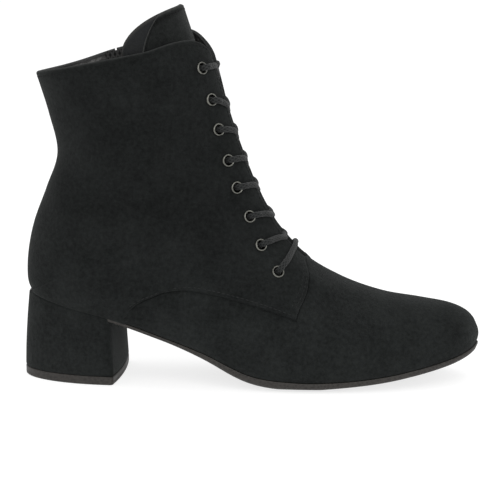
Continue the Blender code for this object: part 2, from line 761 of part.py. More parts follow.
def build_tongue(parent):
    """A padded front panel with a thinner gusset at each side, under the facings and above the collar."""
    gusset = spread(0.0, (0.1, 2), (TONGUE_PANEL_AT, 2))
    shares = gusset + spread(TONGUE_PANEL_AT + 0.015, (1.0, 4))
    steps = spread(0.0, (0.88, 10), (1.0, 2))
    bm = bmesh.new()
    lift = bm.verts.layers.float.new("lift")
    for side in (OUTER, INNER):
        for line in grid(bm, [[tongue_point(step, share, side) for share in shares] for step in steps]):
            for j, vert in enumerate(line):
                vert[lift] = TONGUE_PANEL if j >= len(gusset) else 0.0
    bmesh.ops.remove_doubles(bm, verts=bm.verts, dist=0.02)
    face_out(bm, lambda place: Vector((1, 0, 0)))
    thicken(bm, lift, TONGUE_THICK)
    add("tongue", bm, suede(), parent)


# Laces


def strand_distance(point, eyelet):
    return point.of_eyelet * eyelet.distance + point.of_facing * facing_gap(eyelet.row) + point.shift


def strand_path(high, low, side):
    """From the higher eyelet on one side, across the ridge towards the lower eyelet on the other. The strand
    from the inner side passes under."""
    path = []
    drop = LACE_UNDER_DROP if side == INNER else 0.0
    for point in STRANDS:
        distance = strand_distance(point, high)
        share = (high.distance - distance) / (high.distance + low.distance)
        row = high.row + (low.row - high.row) * share
        in_gap = 1 - smooth(0.0, facing_gap(high.row), distance)
        path.append(across(row, side * distance, point.height - drop * in_gap))
    return path


def build_lace_crossing(number, high, low, parent):
    """Two strands that cross over the tongue between two pairs of eyelets, joined where they cross."""
    name = f"lace_crossing_{number}"
    strands = []
    for side, label in ((OUTER, name), (INNER, name + "_under")):
        bm = bmesh.new()
        tube(bm, strand_path(high, low, side), LACE_RADIUS)
        strands.append(add(label, bm, cord(), parent))
    combine(strands[0], strands[1], "UNION")


def build_lace_bar(eyelet, parent):
    """The lowest run of the lace, an arch from one bottom eyelet to the other."""
    half = [(strand_distance(point, eyelet), point.height) for point in BAR]
    path = []
    for distance, height in [(-place, height) for place, height in half] + half[-2::-1]:
        rise = LACE_BAR_RISE * max(0.0, 1 - (distance / eyelet.distance) ** 2)
        path.append(across(eyelet.row + rise, distance, height))
    bm = bmesh.new()
    tube(bm, path, LACE_RADIUS)
    add("lace_bar", bm, cord(), parent)


# Zip


def zip_row(z):
    """Row where the zip's line stands at that height."""
    return solve(lambda row: skin(row, INNER, zip_t(row, 0.0))[2] - z, ZIP_LOW_ROW, COLLAR_ROW - 0.1)


def zip_frame(z):
    """A frame on the zip's line at that height: x level along the boot, y up the zip, z outwards."""
    row = zip_row(z)
    t = zip_t(row, 0.0)
    z_axis = Vector(skin_normal(row, INNER, t))
    x_axis = Vector((-z_axis.y, z_axis.x, 0.0)).normalized()
    turn = Matrix((x_axis, z_axis.cross(x_axis), z_axis)).transposed().to_4x4()
    return Matrix.Translation(Vector(skin(row, INNER, t))) @ turn


def build_zip_tape(parent):
    """The zip's tape behind the slit, with the closed chain as a rib along its middle up to the slider."""
    chain_end = zip_row(ZIP_SLIDER_Z)
    rows = spread(ZIP_LOW_ROW - 0.6, (chain_end, 13), (COLLAR_ROW - 0.12, 1))
    half = [ZIP_CHAIN_HALF, ZIP_CHAIN_HALF + 0.3, ZIP_TAPE_HALF]
    shifts = [-shift for shift in half[::-1]] + half
    bm = bmesh.new()
    lift = bm.verts.layers.float.new("lift")
    places = [[lifted(row, INNER, zip_t(row, shift), -WALL - ZIP_CLEAR) for shift in shifts] for row in rows]
    for row, line in zip(rows, grid(bm, places)):
        for shift, vert in zip(shifts, line):
            in_slit = ZIP_LOW_ROW + 0.1 < row <= chain_end and abs(shift) <= ZIP_CHAIN_HALF
            vert[lift] = ZIP_CHAIN_LIFT if in_slit else 0.0
    face_out(bm, lambda place: Vector((0, 1, 0)))
    thicken(bm, lift, ZIP_TAPE_THICK)
    add("zip_tape", bm, cord(), parent)


def build_zip_slider(frame, parent):
    """The slider at the zip's top: a tapered body and a staple for the pull. Returns the staple's middle."""
    low = QUARTER_LIFT + CLEAR
    high = low + SLIDER_THICK
    long = SLIDER_LENGTH / 2
    half = [(0.6 * SLIDER_HALF, -long), (SLIDER_HALF, 0.3 * long), (0.8 * SLIDER_HALF, long)]
    outline = half + [(-x, y) for x, y in half[::-1]]
    bm = bmesh.new()
    loft(bm, [[frame @ Vector((x, y, z)) for x, y in outline] for z in (low, high)])
    body = add("zip_slider", bm, gunmetal(), parent)
    bar = high + STAPLE_HEIGHT
    foot = high - STAPLE_RADIUS
    corner = STAPLE_RADIUS
    legs = [(STAPLE_HALF, foot), (STAPLE_HALF, bar - corner), (STAPLE_HALF - corner, bar)]
    path = legs + [(-x, z) for x, z in legs[::-1]]
    bm = bmesh.new()
    tube(bm, [frame @ Vector((x, 0.0, z)) for x, z in path], STAPLE_RADIUS)
    combine(body, add("zip_staple", bm, gunmetal(), parent), "UNION")
    return frame @ Vector((0.0, 0.0, bar))


def build_zip_pull(frame, hinge, parent):
    """A flat tab with an eye round the staple's bar. It hangs plumb, and its origin is on the bar's axis."""
    steps = 10
    turns = [math.tau * k / steps for k in range(steps)]
    rim = [(x, r) for x in (-PULL_EYE_HALF, PULL_EYE_HALF) for r in (PULL_EYE_BORE, PULL_EYE_OUTER)]
    section = [rim[0], rim[1], rim[3], rim[2]]
    rings = [[(x, r * math.cos(turn), r * math.sin(turn)) for x, r in section] for turn in turns]
    bm = bmesh.new()
    loft(bm, rings + rings[:1])
    eye = add("zip_pull", bm, gunmetal(), parent)
    top = -(PULL_EYE_BORE + PULL_EYE_OUTER) / 2
    half = [
        (PULL_EYE_HALF, top),
        (PULL_HALF, top - PULL_NECK),
        (PULL_HALF, PULL_CORNER - PULL_LENGTH),
        (PULL_HALF - PULL_CORNER, -PULL_LENGTH),
    ]
    outline = half + [(-x, z) for x, z in half[::-1]]
    bm = bmesh.new()
    loft(bm, [[(x, y, z) for x, z in outline] for y in (-PULL_THICK / 2, PULL_THICK / 2)])
    tab = add("zip_tab", bm, gunmetal(), parent)
    combine(eye, tab, "UNION")
    x_axis, up = frame.to_3x3().col[0].normalized(), Vector((0, 0, 1))
    turn = Matrix((x_axis, up.cross(x_axis), up)).transposed().to_4x4()
    for piece in (eye, tab):
        piece.matrix_local = Matrix.Translation(hinge * MM) @ turn


# Assembly


def centre(parent):
    """Moves the boot so that the origin is at the bottom centre of its box."""
    bpy.context.view_layer.update()
    pieces = [obj for obj in parent.children if not obj.hide_render]
    corners = np.array([obj.matrix_world @ Vector(corner) for obj in pieces for corner in obj.bound_box])
    low, high = corners.min(axis=0), corners.max(axis=0)
    parent.location = (-(low[0] + high[0]) / 2, -(low[1] + high[1]) / 2, -low[2])


def main():
    for obj in list(bpy.data.objects):
        bpy.data.objects.remove(obj)
    boot = bpy.data.objects.new("boot", None)
    bpy.context.scene.collection.objects.link(boot)
    frames = eyelet_frames()
    build_upper(boot, frames.values())
    build_tongue(boot)
    build_insole(boot)
    build_outsole(boot)
    build_heel(boot)
    build_top_lift(boot)
    for name, frame in frames.items():
        build_eyelet(name, frame, boot)
    for number, (high, low) in enumerate(zip(EYELETS, EYELETS[1:]), 1):
        build_lace_crossing(number, high, low, boot)
    build_lace_bar(EYELETS[-1], boot)
    build_zip_tape(boot)
    slider_frame = zip_frame(ZIP_SLIDER_Z)
    hinge = build_zip_slider(slider_frame, boot)
    build_zip_pull(slider_frame, hinge, boot)
    centre(boot)


if __name__ == "__main__":
    main()
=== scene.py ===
# %% [markdown]
# # A black suede ankle boot, dressed over its frame
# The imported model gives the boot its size, its two bodies and its collision. This lesson puts the looks on
# that frame: a napped suede upper with its creases and stitch rows, a tongue, a lace that runs through the
# eyelets, a covered heel, a thin sole and a zip. Every shape below is worked out in millimetres, in the
# frame of the boot's own drawing, and moved into the scene's metres when its piece is finished.

# %% Load the frame
import math
from collections import namedtuple

import bmesh
import bpy
import numpy as np
from mathutils import Matrix, Vector


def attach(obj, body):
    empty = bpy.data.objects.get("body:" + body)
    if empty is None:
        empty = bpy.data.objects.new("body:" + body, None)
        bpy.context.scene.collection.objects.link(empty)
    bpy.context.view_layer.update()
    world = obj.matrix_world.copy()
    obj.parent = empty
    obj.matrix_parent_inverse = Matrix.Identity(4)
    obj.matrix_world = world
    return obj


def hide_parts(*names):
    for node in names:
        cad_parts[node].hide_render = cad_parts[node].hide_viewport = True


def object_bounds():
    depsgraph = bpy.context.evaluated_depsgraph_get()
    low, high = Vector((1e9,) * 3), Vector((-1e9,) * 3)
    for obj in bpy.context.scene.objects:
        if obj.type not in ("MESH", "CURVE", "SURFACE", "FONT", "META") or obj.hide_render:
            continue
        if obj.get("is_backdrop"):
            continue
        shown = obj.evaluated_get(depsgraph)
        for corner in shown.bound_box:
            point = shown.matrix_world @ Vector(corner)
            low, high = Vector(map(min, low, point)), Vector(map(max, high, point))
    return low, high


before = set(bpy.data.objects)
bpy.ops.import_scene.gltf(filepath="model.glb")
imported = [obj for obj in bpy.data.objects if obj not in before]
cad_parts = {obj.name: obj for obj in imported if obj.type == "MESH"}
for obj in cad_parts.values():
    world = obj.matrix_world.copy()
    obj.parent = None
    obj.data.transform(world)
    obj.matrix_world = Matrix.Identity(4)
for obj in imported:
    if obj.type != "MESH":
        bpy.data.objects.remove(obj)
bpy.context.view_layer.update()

# %% [markdown]
# ## Camera
# The boot is seen from its outer side, a little from the front and from above. A long lens at 0.8 m keeps the
# toe and the heel in proportion; a short lens would swell the middle.

# %% Camera
MM = 0.001
SHIFT = np.array((124.758, 4.633, 0.0))
CAMERA_AT = (191.2, -784.3, 217.2)
CAMERA_AIM = (125.53, 0.0, 70.73)
CAMERA_LENS = 105.6


def placed(points):
    """Points of the drawing, in millimetres, as points of the scene."""
    return (np.asarray(points, float) - SHIFT) * MM


def link(obj):
    bpy.context.scene.collection.objects.link(obj)
    return obj


camera = link(bpy.data.objects.new("camera", bpy.data.cameras.new("camera")))
camera.data.lens = CAMERA_LENS
camera.location = Vector(placed(CAMERA_AT))
camera.rotation_euler = (Vector(placed(CAMERA_AIM)) - camera.location).to_track_quat("-Z", "Y").to_euler()
bpy.context.scene.camera = camera
print("camera", [round(value, 3) for value in camera.location])

# %% [markdown]
# ## The last as a table
# A boot is built on a last, and a last is drawn as sections. Each row below is one section plane. The planes
# fan round the instep, from upright at the toe to nearly level at the collar, so one table holds foot and
# shaft. A subdivided cage could be pulled into shape by eye instead, but then each piece would need its own
# cage; with the table, the upper, tongue, lace, zip and stitches all ride on one skin.

# %% Section table
Section = namedtuple(
    "Section",
    "back_x back_z front_x front_z middle ridge outer inner sole_outer sole_inner belly"
    " round_front round_back",
)
TABLE = np.array(
    [
        Section(250.2, 20.6, 249.8, 29.6, 9.0, 0.0, 0.0, 0.0, 0.0, 0.0, 0.40, 2.0, 1.8),
        Section(248.2, 19.6, 247.5, 34.1, 8.8, 0.0, 8.4, 8.0, 7.4, 7.2, 0.38, 2.0, 1.8),
        Section(243.3, 17.8, 242.6, 38.2, 8.4, 0.2, 16.4, 15.4, 15.0, 14.4, 0.36, 2.1, 1.8),
        Section(234.0, 15.2, 233.5, 41.5, 7.7, 0.5, 23.8, 22.4, 22.2, 21.2, 0.34, 2.2, 1.8),
        Section(218.0, 11.6, 217.5, 44.1, 6.6, 1.0, 30.4, 29.6, 28.6, 28.4, 0.32, 2.2, 1.8),
        Section(198.0, 8.2, 197.5, 47.2, 5.2, 1.6, 35.8, 36.2, 33.4, 34.8, 0.31, 2.2, 1.8),
        Section(175.0, 6.0, 175.5, 54.9, 3.8, 2.2, 38.6, 40.6, 35.8, 39.2, 0.30, 2.0, 1.7),
        Section(152.0, 5.7, 155.6, 67.2, 2.4, 2.2, 38.8, 40.6, 35.8, 38.6, 0.30, 1.8, 1.7),
        Section(128.0, 8.8, 147.7, 76.0, 1.2, 2.0, 37.6, 37.8, 33.8, 32.6, 0.29, 1.65, 1.6),
        Section(102.0, 20.2, 142.2, 84.8, 0.4, 1.6, 35.8, 34.4, 30.4, 25.8, 0.27, 1.65, 1.6),
        Section(76.0, 29.7, 138.1, 92.0, 0.0, 1.2, 34.2, 32.6, 28.4, 24.2, 0.25, 2.0, 1.6),
        Section(53.0, 37.3, 134.3, 98.2, 0.0, 0.9, 33.0, 32.0, 27.4, 26.0, 0.25, 2.3, 1.5),
        Section(31.0, 42.3, 131.1, 104.0, 0.0, 0.7, 32.2, 31.6, 24.4, 24.4, 0.27, 2.65, 1.4),
        Section(15.0, 46.1, 128.4, 109.5, 0.0, 0.5, 31.6, 31.2, 17.4, 17.4, 0.30, 2.8, 1.4),
        Section(7.8, 47.9, 126.1, 114.7, 0.0, 0.4, 31.0, 30.8, 10.2, 10.2, 0.33, 3.0, 1.5),
        Section(5.6, 48.1, 124.1, 119.7, 0.0, 0.3, 30.6, 30.6, 0.0, 0.0, 0.34, 3.0, 2.0),
        Section(3.4, 55.0, 122.1, 125.2, 0.0, 0.2, 30.4, 30.4, 0.0, 0.0, 0.35, 3.0, 2.0),
        Section(4.2, 69.5, 119.9, 131.2, 0.0, 0.1, 30.2, 30.2, 0.0, 0.0, 0.36, 3.0, 2.0),
        Section(7.9, 86.0, 117.5, 138.2, 0.0, 0.0, 30.0, 30.0, 0.0, 0.0, 0.38, 3.0, 2.0),
        Section(15.1, 104.5, 114.8, 146.7, 0.0, 0.0, 30.6, 30.6, 0.0, 0.0, 0.41, 2.8, 2.0),
        Section(21.7, 124.0, 111.7, 157.2, 0.0, 0.0, 32.0, 32.0, 0.0, 0.0, 0.44, 2.65, 2.0),
        Section(17.6, 145.5, 108.0, 169.7, 0.0, 0.0, 33.8, 33.8, 0.0, 0.0, 0.46, 2.3, 2.05),
        Section(11.4, 166.5, 103.3, 184.5, 0.0, 0.0, 35.0, 35.0, 0.0, 0.0, 0.48, 2.25, 2.1),
        Section(5.0, 188.0, 96.5, 206.0, 0.0, 0.0, 35.0, 35.0, 0.0, 0.0, 0.48, 2.25, 2.1),
    ]
)
OUTER, INNER = -1, 1
BELLY_T = 0.4
THROAT_ROW, SEAT_END_ROW, COLLAR_ROW = 7, 15, 22
FACING_GAP, FACING_GAP_LOW = 7.0, 4.0
# Round corner of the collar: its drop in rows, its span in t, and 2 for an ellipse or less for a flatter cut
COLLAR_CORNER = {OUTER: (0.67, 0.2, 2.0), INNER: (1.0, 0.24, 1.45)}
COLLAR_BACK_RISE, COLLAR_FRONT_RISE, COLLAR_INNER_RISE, COLLAR_INNER_FRONT = 0.025, 0.09, 0.19, 0.28
INNER_TURN = 0.15
THROAT_BOW, THROAT_BACK, TOE_BOW = 3.5, 1.8, 1.0
print("sections", len(TABLE))


# %% Curves and searches
def smooth(low, high, value):
    """0 at low, 1 at high and an S curve between."""
    share = np.clip((np.asarray(value, float) - low) / (high - low), 0.0, 1.0)
    return share * share * (3 - 2 * share)


def spread(start, *runs):
    """Values from start along runs of even steps, each given as its end and its count of steps."""
    values = [start]
    for end, steps in runs:
        values.extend(np.linspace(values[-1], end, steps + 1)[1:])
    return [float(value) for value in values]


def solve(rising, low, high, rounds=36):
    """Where a rising function crosses zero, for a number or for an array of them."""
    low, high = np.asarray(low, float), np.asarray(high, float)
    for _ in range(rounds):
        middle = (low + high) / 2
        past = rising(middle) > 0
        high = np.where(past, middle, high)
        low = np.where(past, low, middle)
    return (low + high) / 2


# %% Skin of the last
def section_at(row):
    """The section at a fractional row, on a curve through the table's rows."""
    last = len(TABLE) - 1
    index = np.clip(np.floor(row).astype(int), 0, last - 1)
    u = (np.asarray(row, float) - index)[..., None]
    p0, p1 = TABLE[np.maximum(index - 1, 0)], TABLE[index]
    p2, p3 = TABLE[index + 1], TABLE[np.minimum(index + 2, last)]
    linear, square, cube = p2 - p0, 2 * p0 - 5 * p1 + 4 * p2 - p3, 3 * p1 - p0 - 3 * p2 + p3
    found = Section(*np.moveaxis(p1 + 0.5 * (linear * u + square * u**2 + cube * u**3), -1, 0))
    return found._replace(
        sole_outer=np.maximum(found.sole_outer, 0.0), sole_inner=np.maximum(found.sole_inner, 0.0)
    )


def widths(section, side):
    """Half widths at the belly and at the feather edge on that side."""
    return (section.outer, section.sole_outer) if side == OUTER else (section.inner, section.sole_inner)


def profile(section, side, t):
    """Share of the way from back to front, and half width, at t: 0 the feather or back line, 1 the ridge."""
    wide, sole = widths(section, side)
    low = math.pi / 2 * (1 - np.clip(t / BELLY_T, 0.0, 1.0))
    high = math.pi / 2 * np.clip((t - BELLY_T) / (1 - BELLY_T), 0.0, 1.0)
    under = sole + (wide - sole) * np.maximum(np.cos(low), 0.0) ** (2 / section.round_back)
    over = wide * np.maximum(np.cos(high), 0.0) ** (2 / section.round_front)
    rise = section.belly + (1 - section.belly) * np.sin(high)
    below = t < BELLY_T
    return np.where(below, section.belly * (1 - np.sin(low)), rise), np.where(below, under, over)


def front_t(row, side, half):
    """t where the skin lies this far from the ridge, on the way from the belly to it."""
    section = section_at(row)
    share = np.minimum(1.0, half / np.maximum(widths(section, side)[0], 0.001))
    return BELLY_T + (1 - BELLY_T) * np.arccos(share ** (section.round_front / 2)) / (math.pi / 2)


def facing_gap(row):
    """Half the gap between the facings, which open in a V from the throat."""
    return FACING_GAP_LOW + (FACING_GAP - FACING_GAP_LOW) * smooth(THROAT_ROW, THROAT_ROW + 3, row)


def edge_t(row, side):
    """t of the facing's edge, or of the ridge where the vamp closes it."""
    return np.where(np.asarray(row) <= THROAT_ROW, 1.0, front_t(row, side, facing_gap(row)))


def collar_share(row):
    return smooth(COLLAR_ROW - 2, COLLAR_ROW, row)


def skin(row, side, t):
    """Points of the base skin, which is the vamp's outer face."""
    row, t = np.broadcast_arrays(np.asarray(row, float), np.asarray(t, float))
    section = section_at(row)
    along, half = profile(section, side, t)
    x = section.back_x + (section.front_x - section.back_x) * along
    z = section.back_z + (section.front_z - section.back_z) * along
    bow = THROAT_BOW * smooth(0.55, 0.8, along) * (1 - smooth(0.86, 1.0, along))
    bow = bow - THROAT_BACK * smooth(0.1, 0.35, along) * (1 - smooth(0.5, 0.95, along))
    x = x + bow * np.exp(-(((row - THROAT_ROW) / 0.9) ** 2))
    x = x + TOE_BOW * 4 * along * (1 - along) * np.exp(-((row / 0.7) ** 2))
    if side == INNER:
        facing = smooth(THROAT_ROW, THROAT_ROW + 3, row) - smooth(COLLAR_ROW - 2.5, COLLAR_ROW - 0.5, row)
        x = x - INNER_TURN * half * smooth(0.5, 0.95, along) * facing
    return np.stack([x, section.middle + section.ridge * along + side * half, z], axis=-1)


# %% Collar line and places on the skin
def collar_row(row, side, t):
    """Rows near the collar, moved to its line. It climbs towards the front and on the inner side, and turns
    down in a round corner to the facings."""
    along = profile(section_at(row), side, t)[0]
    drop, span, power = COLLAR_CORNER[side]
    reach = np.clip((t - edge_t(row, side)) / span + 1, 0.0, 1.0)
    rise = COLLAR_BACK_RISE * (2 - smooth(0.0, 0.3, along)) + COLLAR_FRONT_RISE * smooth(0.66, 0.86, along)
    rise = rise - drop * (1 - (1 - reach**power) ** (1 / power))
    if side == INNER:
        rise = rise + COLLAR_INNER_RISE * np.sin(math.pi * along) ** 2
        rise = rise + COLLAR_INNER_FRONT * smooth(0.7, 0.95, along)
    return row + rise * collar_share(row)


def skin_normal(row, side, t):
    """Outward normals of the base skin."""
    row, t = np.broadcast_arrays(np.asarray(row, float), np.asarray(t, float))
    step_row, step_t = 0.02, 0.004
    low, high = np.maximum(t - step_t, 0.0), np.minimum(t + step_t, 1.0)
    along_t = skin(row, side, high) - skin(row, side, low)
    over_ridge = skin(row, -side, 1 - step_t) - skin(row, side, 1 - step_t)
    along_t = np.where((high >= 1.0)[..., None], over_ridge, along_t)
    along_row = skin(row + step_row, side, t) - skin(row - step_row, side, t)
    normal = np.cross(along_row, along_t) * side
    return normal / np.maximum(np.linalg.norm(normal, axis=-1, keepdims=True), 1e-9)


def lifted(row, side, t, height):
    """Points this far off the base skin."""
    return skin(row, side, t) + skin_normal(row, side, t) * np.asarray(height, float)[..., None]


def beside_ridge(row, distance):
    """Side and t at a signed distance from the ridge, negative on the outer side."""
    side = INNER if distance > 0 else OUTER
    return side, front_t(row, side, abs(distance))


def up_lacing(row, side, t):
    """Direction on the skin towards the next row, up along the lacing."""
    half_step = 0.05
    return skin(row + half_step, side, t) - skin(row - half_step, side, t)


print("skin point at the toe's ridge", np.round(skin(4.0, OUTER, 1.0), 1))

# %% [markdown]
# ## Lines on the skin
# The quarters lie on the vamp and end in an arch. That arch and the zip are placed by where they show from
# the side, and then found on the skin by halving steps. Drawing them flat and shrink-wrapping them would be
# another way, but a grid that has a line along each seam gives a crisp edge with few faces.

# %% Lines on the skin
SEAM_TAIL_X, SEAM_TAIL_DROP, SEAM_TAIL_ROW = 62.0, 22.5, 10.72
SEAM_PEAK_X, SEAM_PEAK_Z = 95.0, 55.0
SEAM_FRONT_X, SEAM_FRONT_DROP, SEAM_FRONT_POWER = 153.0, 15.5, 1.42
SEAM_BEHIND = 0.16
ZIP_TOP_X, ZIP_TOP_Z, ZIP_LOW_X, ZIP_LOW_Z = 48.0, 177.0, 62.0, 74.0
# Rows between which the zip's lower end is looked for
ZIP_SEARCH_LOW, ZIP_SEARCH_HIGH = 12.5, 16.5


def seam_height(x):
    """Height of the quarter's lower edge over the vamp's wing."""
    behind = np.clip((SEAM_PEAK_X - x) / (SEAM_PEAK_X - SEAM_TAIL_X), 0.0, 1.0)
    ahead = np.clip((x - SEAM_PEAK_X) / (SEAM_FRONT_X - SEAM_PEAK_X), 0.0, 2.0)
    drop = SEAM_TAIL_DROP * (1 - np.sqrt(1 - behind**2)) + SEAM_FRONT_DROP * ahead**SEAM_FRONT_POWER
    return SEAM_PEAK_Z - drop


def seam_t(row, side):
    """t of the quarter's lower edge, and of a plain line ahead of the seam and behind its tail."""
    seam_row = np.clip(row, THROAT_ROW, SEAM_TAIL_ROW - 0.02)

    def above(t):
        point = skin(seam_row, side, t)
        return point[..., 2] - seam_height(point[..., 0])

    found = solve(above, np.full_like(seam_row, 0.1), np.full_like(seam_row, 0.7))
    return found + (SEAM_BEHIND - found) * smooth(SEAM_TAIL_ROW, SEAT_END_ROW, row)


def zip_t(row, shift):
    """t of the zip's line on the inner side, shifted forward by this much."""
    row = np.asarray(row, float)

    def ahead(t):
        point = skin(row, INNER, t)
        share = (point[..., 2] - ZIP_LOW_Z) / (ZIP_TOP_Z - ZIP_LOW_Z)
        return point[..., 0] - (ZIP_LOW_X + (ZIP_TOP_X - ZIP_LOW_X) * share) - shift

    return solve(ahead, np.full_like(row, 0.08), np.full_like(row, 0.85))


def zip_height(row):
    return skin(row, INNER, zip_t(row, 0.0))[..., 2]


ZIP_LOW_ROW = float(solve(lambda row: zip_height(row) - ZIP_LOW_Z, ZIP_SEARCH_LOW, ZIP_SEARCH_HIGH))
ZIP_ROWS = np.linspace(ZIP_SEARCH_LOW, COLLAR_ROW, 400)
ZIP_HEIGHTS = zip_height(ZIP_ROWS)
print("zip starts at row", round(ZIP_LOW_ROW, 3))

# %% [markdown]
# ## Mesh helpers
# Almost every soft piece here is a grid laid on the skin: create_grid makes the quads, and its vertices move
# to their places. A Solidify modifier would give it an even wall. Extruding the whole face region keeps the
# wall closed too, and each vertex carries its own lift and depth, so the wall can thin out to a round edge.

# %% Grids and walls
# Number of the material on a wall's inner faces
INSIDE = 1
# A distance from the edge, in millimetres, at which no edge is felt
FAR = 100.0


def grid(bm, places, marks=None):
    """A grid of quads whose corners sit at places[i][j]; marks maps a vertex layer to its values."""
    count_i, count_j = places.shape[:2]
    made = bmesh.ops.create_grid(bm, x_segments=count_i - 1, y_segments=count_j - 1, size=1.0)["verts"]
    rows = [[None] * count_j for _ in range(count_i)]
    for vert in made:
        i = round((vert.co.x + 1) / 2 * (count_i - 1))
        j = round((vert.co.y + 1) / 2 * (count_j - 1))
        rows[i][j] = vert
    for i, row in enumerate(rows):
        for j, vert in enumerate(row):
            vert.co = Vector(places[i, j])
            for layer, values in (marks or {}).items():
                vert[layer] = float(values[i, j])
    return rows


def face_out(bm, way):
    """Turns an open skin so that its faces look along the given function of their centres."""
    bmesh.ops.recalc_face_normals(bm, faces=bm.faces)
    if sum(face.normal.dot(way(face.calc_center_median())) for face in bm.faces) < 0:
        bmesh.ops.reverse_faces(bm, faces=bm.faces)


def thicken(bm, lift, depth, rim=None):
    """Turns an open skin into a wall: each vertex goes out by its lift and its twin goes in by its depth. Rim
    vertices move level, and the inner faces get their own material."""
    bm.normal_update()
    tag = bm.verts.layers.int.new("tag")
    moves = []
    for index, vert in enumerate(bm.verts):
        vert[tag] = index
        normal = vert.normal.copy()
        if rim and vert[rim]:
            normal.z = 0.0
            normal.normalize()
        moves.append((normal * vert[lift], normal * vert[depth]))
    outside = list(bm.verts)
    region = list(bm.faces) + list(bm.edges) + outside
    made = bmesh.ops.extrude_face_region(bm, geom=region, use_keep_orig=True)["geom"]
    inner = {item for item in made if isinstance(item, bmesh.types.BMVert)}
    for vert in inner:
        vert.co -= moves[vert[tag]][1]
    for face in bm.faces:
        if inner.issuperset(face.verts):
            face.material_index = INSIDE
    for vert in outside:
        vert.co += moves[vert[tag]][0]
    bmesh.ops.recalc_face_normals(bm, faces=bm.faces)


def sheet(bm, way, thick):
    """Turns an open skin to look along way and gives it an even thickness."""
    face_out(bm, way)
    bmesh.ops.solidify(bm, geom=bm.faces, thickness=thick)
    bmesh.ops.recalc_face_normals(bm, faces=bm.faces)


def close(bm, near):
    """Merges vertices that lie this near, fills the open ends and turns all faces outwards."""
    bmesh.ops.remove_doubles(bm, verts=bm.verts, dist=near)
    bmesh.ops.holes_fill(bm, edges=[edge for edge in bm.edges if edge.is_boundary], sides=0)
    bmesh.ops.recalc_face_normals(bm, faces=bm.faces)


def loft(bm, rings):
    """Skins closed rings of equal length one after another and closes the open ends."""
    rings = np.asarray(rings, float)
    grid(bm, np.concatenate([rings, rings[:, :1]], axis=1))
    close(bm, 0.001)


def lathe(bm, outline, axis, steps):
    """Turns a closed outline round an axis through the origin."""
    verts = [bm.verts.new(point) for point in outline]
    edges = [bm.edges.new((verts[k - 1], verts[k])) for k in range(len(verts))]
    bmesh.ops.spin(bm, geom=verts + edges, axis=axis, angle=math.tau, steps=steps, use_merge=True)


def map_uv(bm, spot):
    """Gives the corners at these vertices a UV map: spot holds each vertex's place on it."""
    layer = bm.loops.layers.uv.verify()
    for face in bm.faces:
        for loop in face.loops:
            if loop.vert in spot:
                loop[layer].uv = spot[loop.vert]


# %% Repeated shapes and finished pieces
def axes_at(place, x_axis, y_axis, z_axis):
    """The frame with these axes at a place."""
    return Matrix.Translation(place) @ Matrix((x_axis, y_axis, z_axis)).transposed().to_4x4()


def copies(shape, frames):
    """One small shape repeated at every frame, as one joined mesh. The shape's bmesh is used up."""
    one = bpy.data.meshes.new("one")
    shape.to_mesh(one)
    shape.free()
    corners = np.array([(*vert.co, 1.0) for vert in one.vertices])
    faces = [list(face.vertices) for face in one.polygons]
    places = np.concatenate([(corners @ np.array(at).T)[:, :3] for at in frames])
    many = bpy.data.meshes.new("many")
    starts = range(0, len(places), len(corners))
    joined = [[corner + start for corner in face] for start in starts for face in faces]
    many.from_pydata(places, [], joined)
    bm = bmesh.new()
    bm.from_mesh(many)
    bpy.data.meshes.remove(one)
    bpy.data.meshes.remove(many)
    return bm


def lip(distance, radius):
    """How far a rounded edge falls away from the face at this distance from the edge."""
    return radius * (1 - np.sqrt(1 - np.clip(1 - distance / radius, 0.0, 1.0) ** 2))


# Marks that the finishes read: rubbed edges, painted lighter for wear and as a highlight, grooves, darkened
# as painted shade, and nearness to the collar
MARKS = ("edge", "collar")


def piece(name, bm, materials, replaces=(), body="boot", sharp=42):
    """A finished piece in the scene's metres, riding on its body."""
    to_scene = Matrix.Diagonal((MM, MM, MM, 1.0)) @ Matrix.Translation(Vector(-SHIFT))
    bmesh.ops.transform(bm, matrix=to_scene, verts=bm.verts)
    for layers in (bm.verts.layers.float, bm.verts.layers.int):
        for label in [label for label in layers.keys() if label not in MARKS]:
            layers.remove(layers[label])
    mesh = bpy.data.meshes.new(name)
    bm.to_mesh(mesh)
    bm.free()
    mesh.shade_smooth()
    mesh.set_sharp_from_angle(angle=math.radians(sharp))
    for finish in materials:
        mesh.materials.append(finish)
    made = link(bpy.data.objects.new(name, mesh))
    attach(made, body)
    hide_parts(*replaces)
    print(name, len(mesh.polygons), "faces")
    return made


# %% [markdown]
# ## Finishes
# Suede is leather with its fibres brushed up. It has no gloss, and patches where the nap was stroked one way
# or the other. Its colour is painted paler low on the foot, as painted light from the floor, and paler at
# rubbed edges, partly for wear and partly as a painted highlight; grooves are painted darker, as painted
# shade. A painted image could hold that, but a node pattern on object coordinates has no seams and stays
# sharp at any size. The nap is a node group, because upper, heel and tongue share it; the grain of leather,
# rubber and thread is a group too, and so is the braid of lace and tape.

# %% Node helpers


def node(tree, kind, inputs=None, **settings):
    """A shader node with its settings, and its inputs linked or set."""
    made = tree.nodes.new("ShaderNode" + kind)
    for key, value in settings.items():
        setattr(made, key, value)
    for key, value in (inputs or {}).items():
        if isinstance(value, bpy.types.NodeSocket):
            tree.links.new(value, made.inputs[key])
        else:
            made.inputs[key].default_value = value
    return made


def math_node(tree, operation, first, second):
    return node(tree, "Math", {0: first, 1: second}, operation=operation).outputs[0]


def weighted(tree, *shares):
    """The sum of values, each times its weight."""
    first, *others = [math_node(tree, "MULTIPLY", value, weight) for value, weight in shares]
    for other in others:
        first = math_node(tree, "ADD", first, other)
    return first


def noise(tree, place, scale, detail, roughness):
    values = {"Vector": place, "Scale": scale, "Detail": detail, "Roughness": roughness}
    return node(tree, "TexNoise", values).outputs["Fac"]


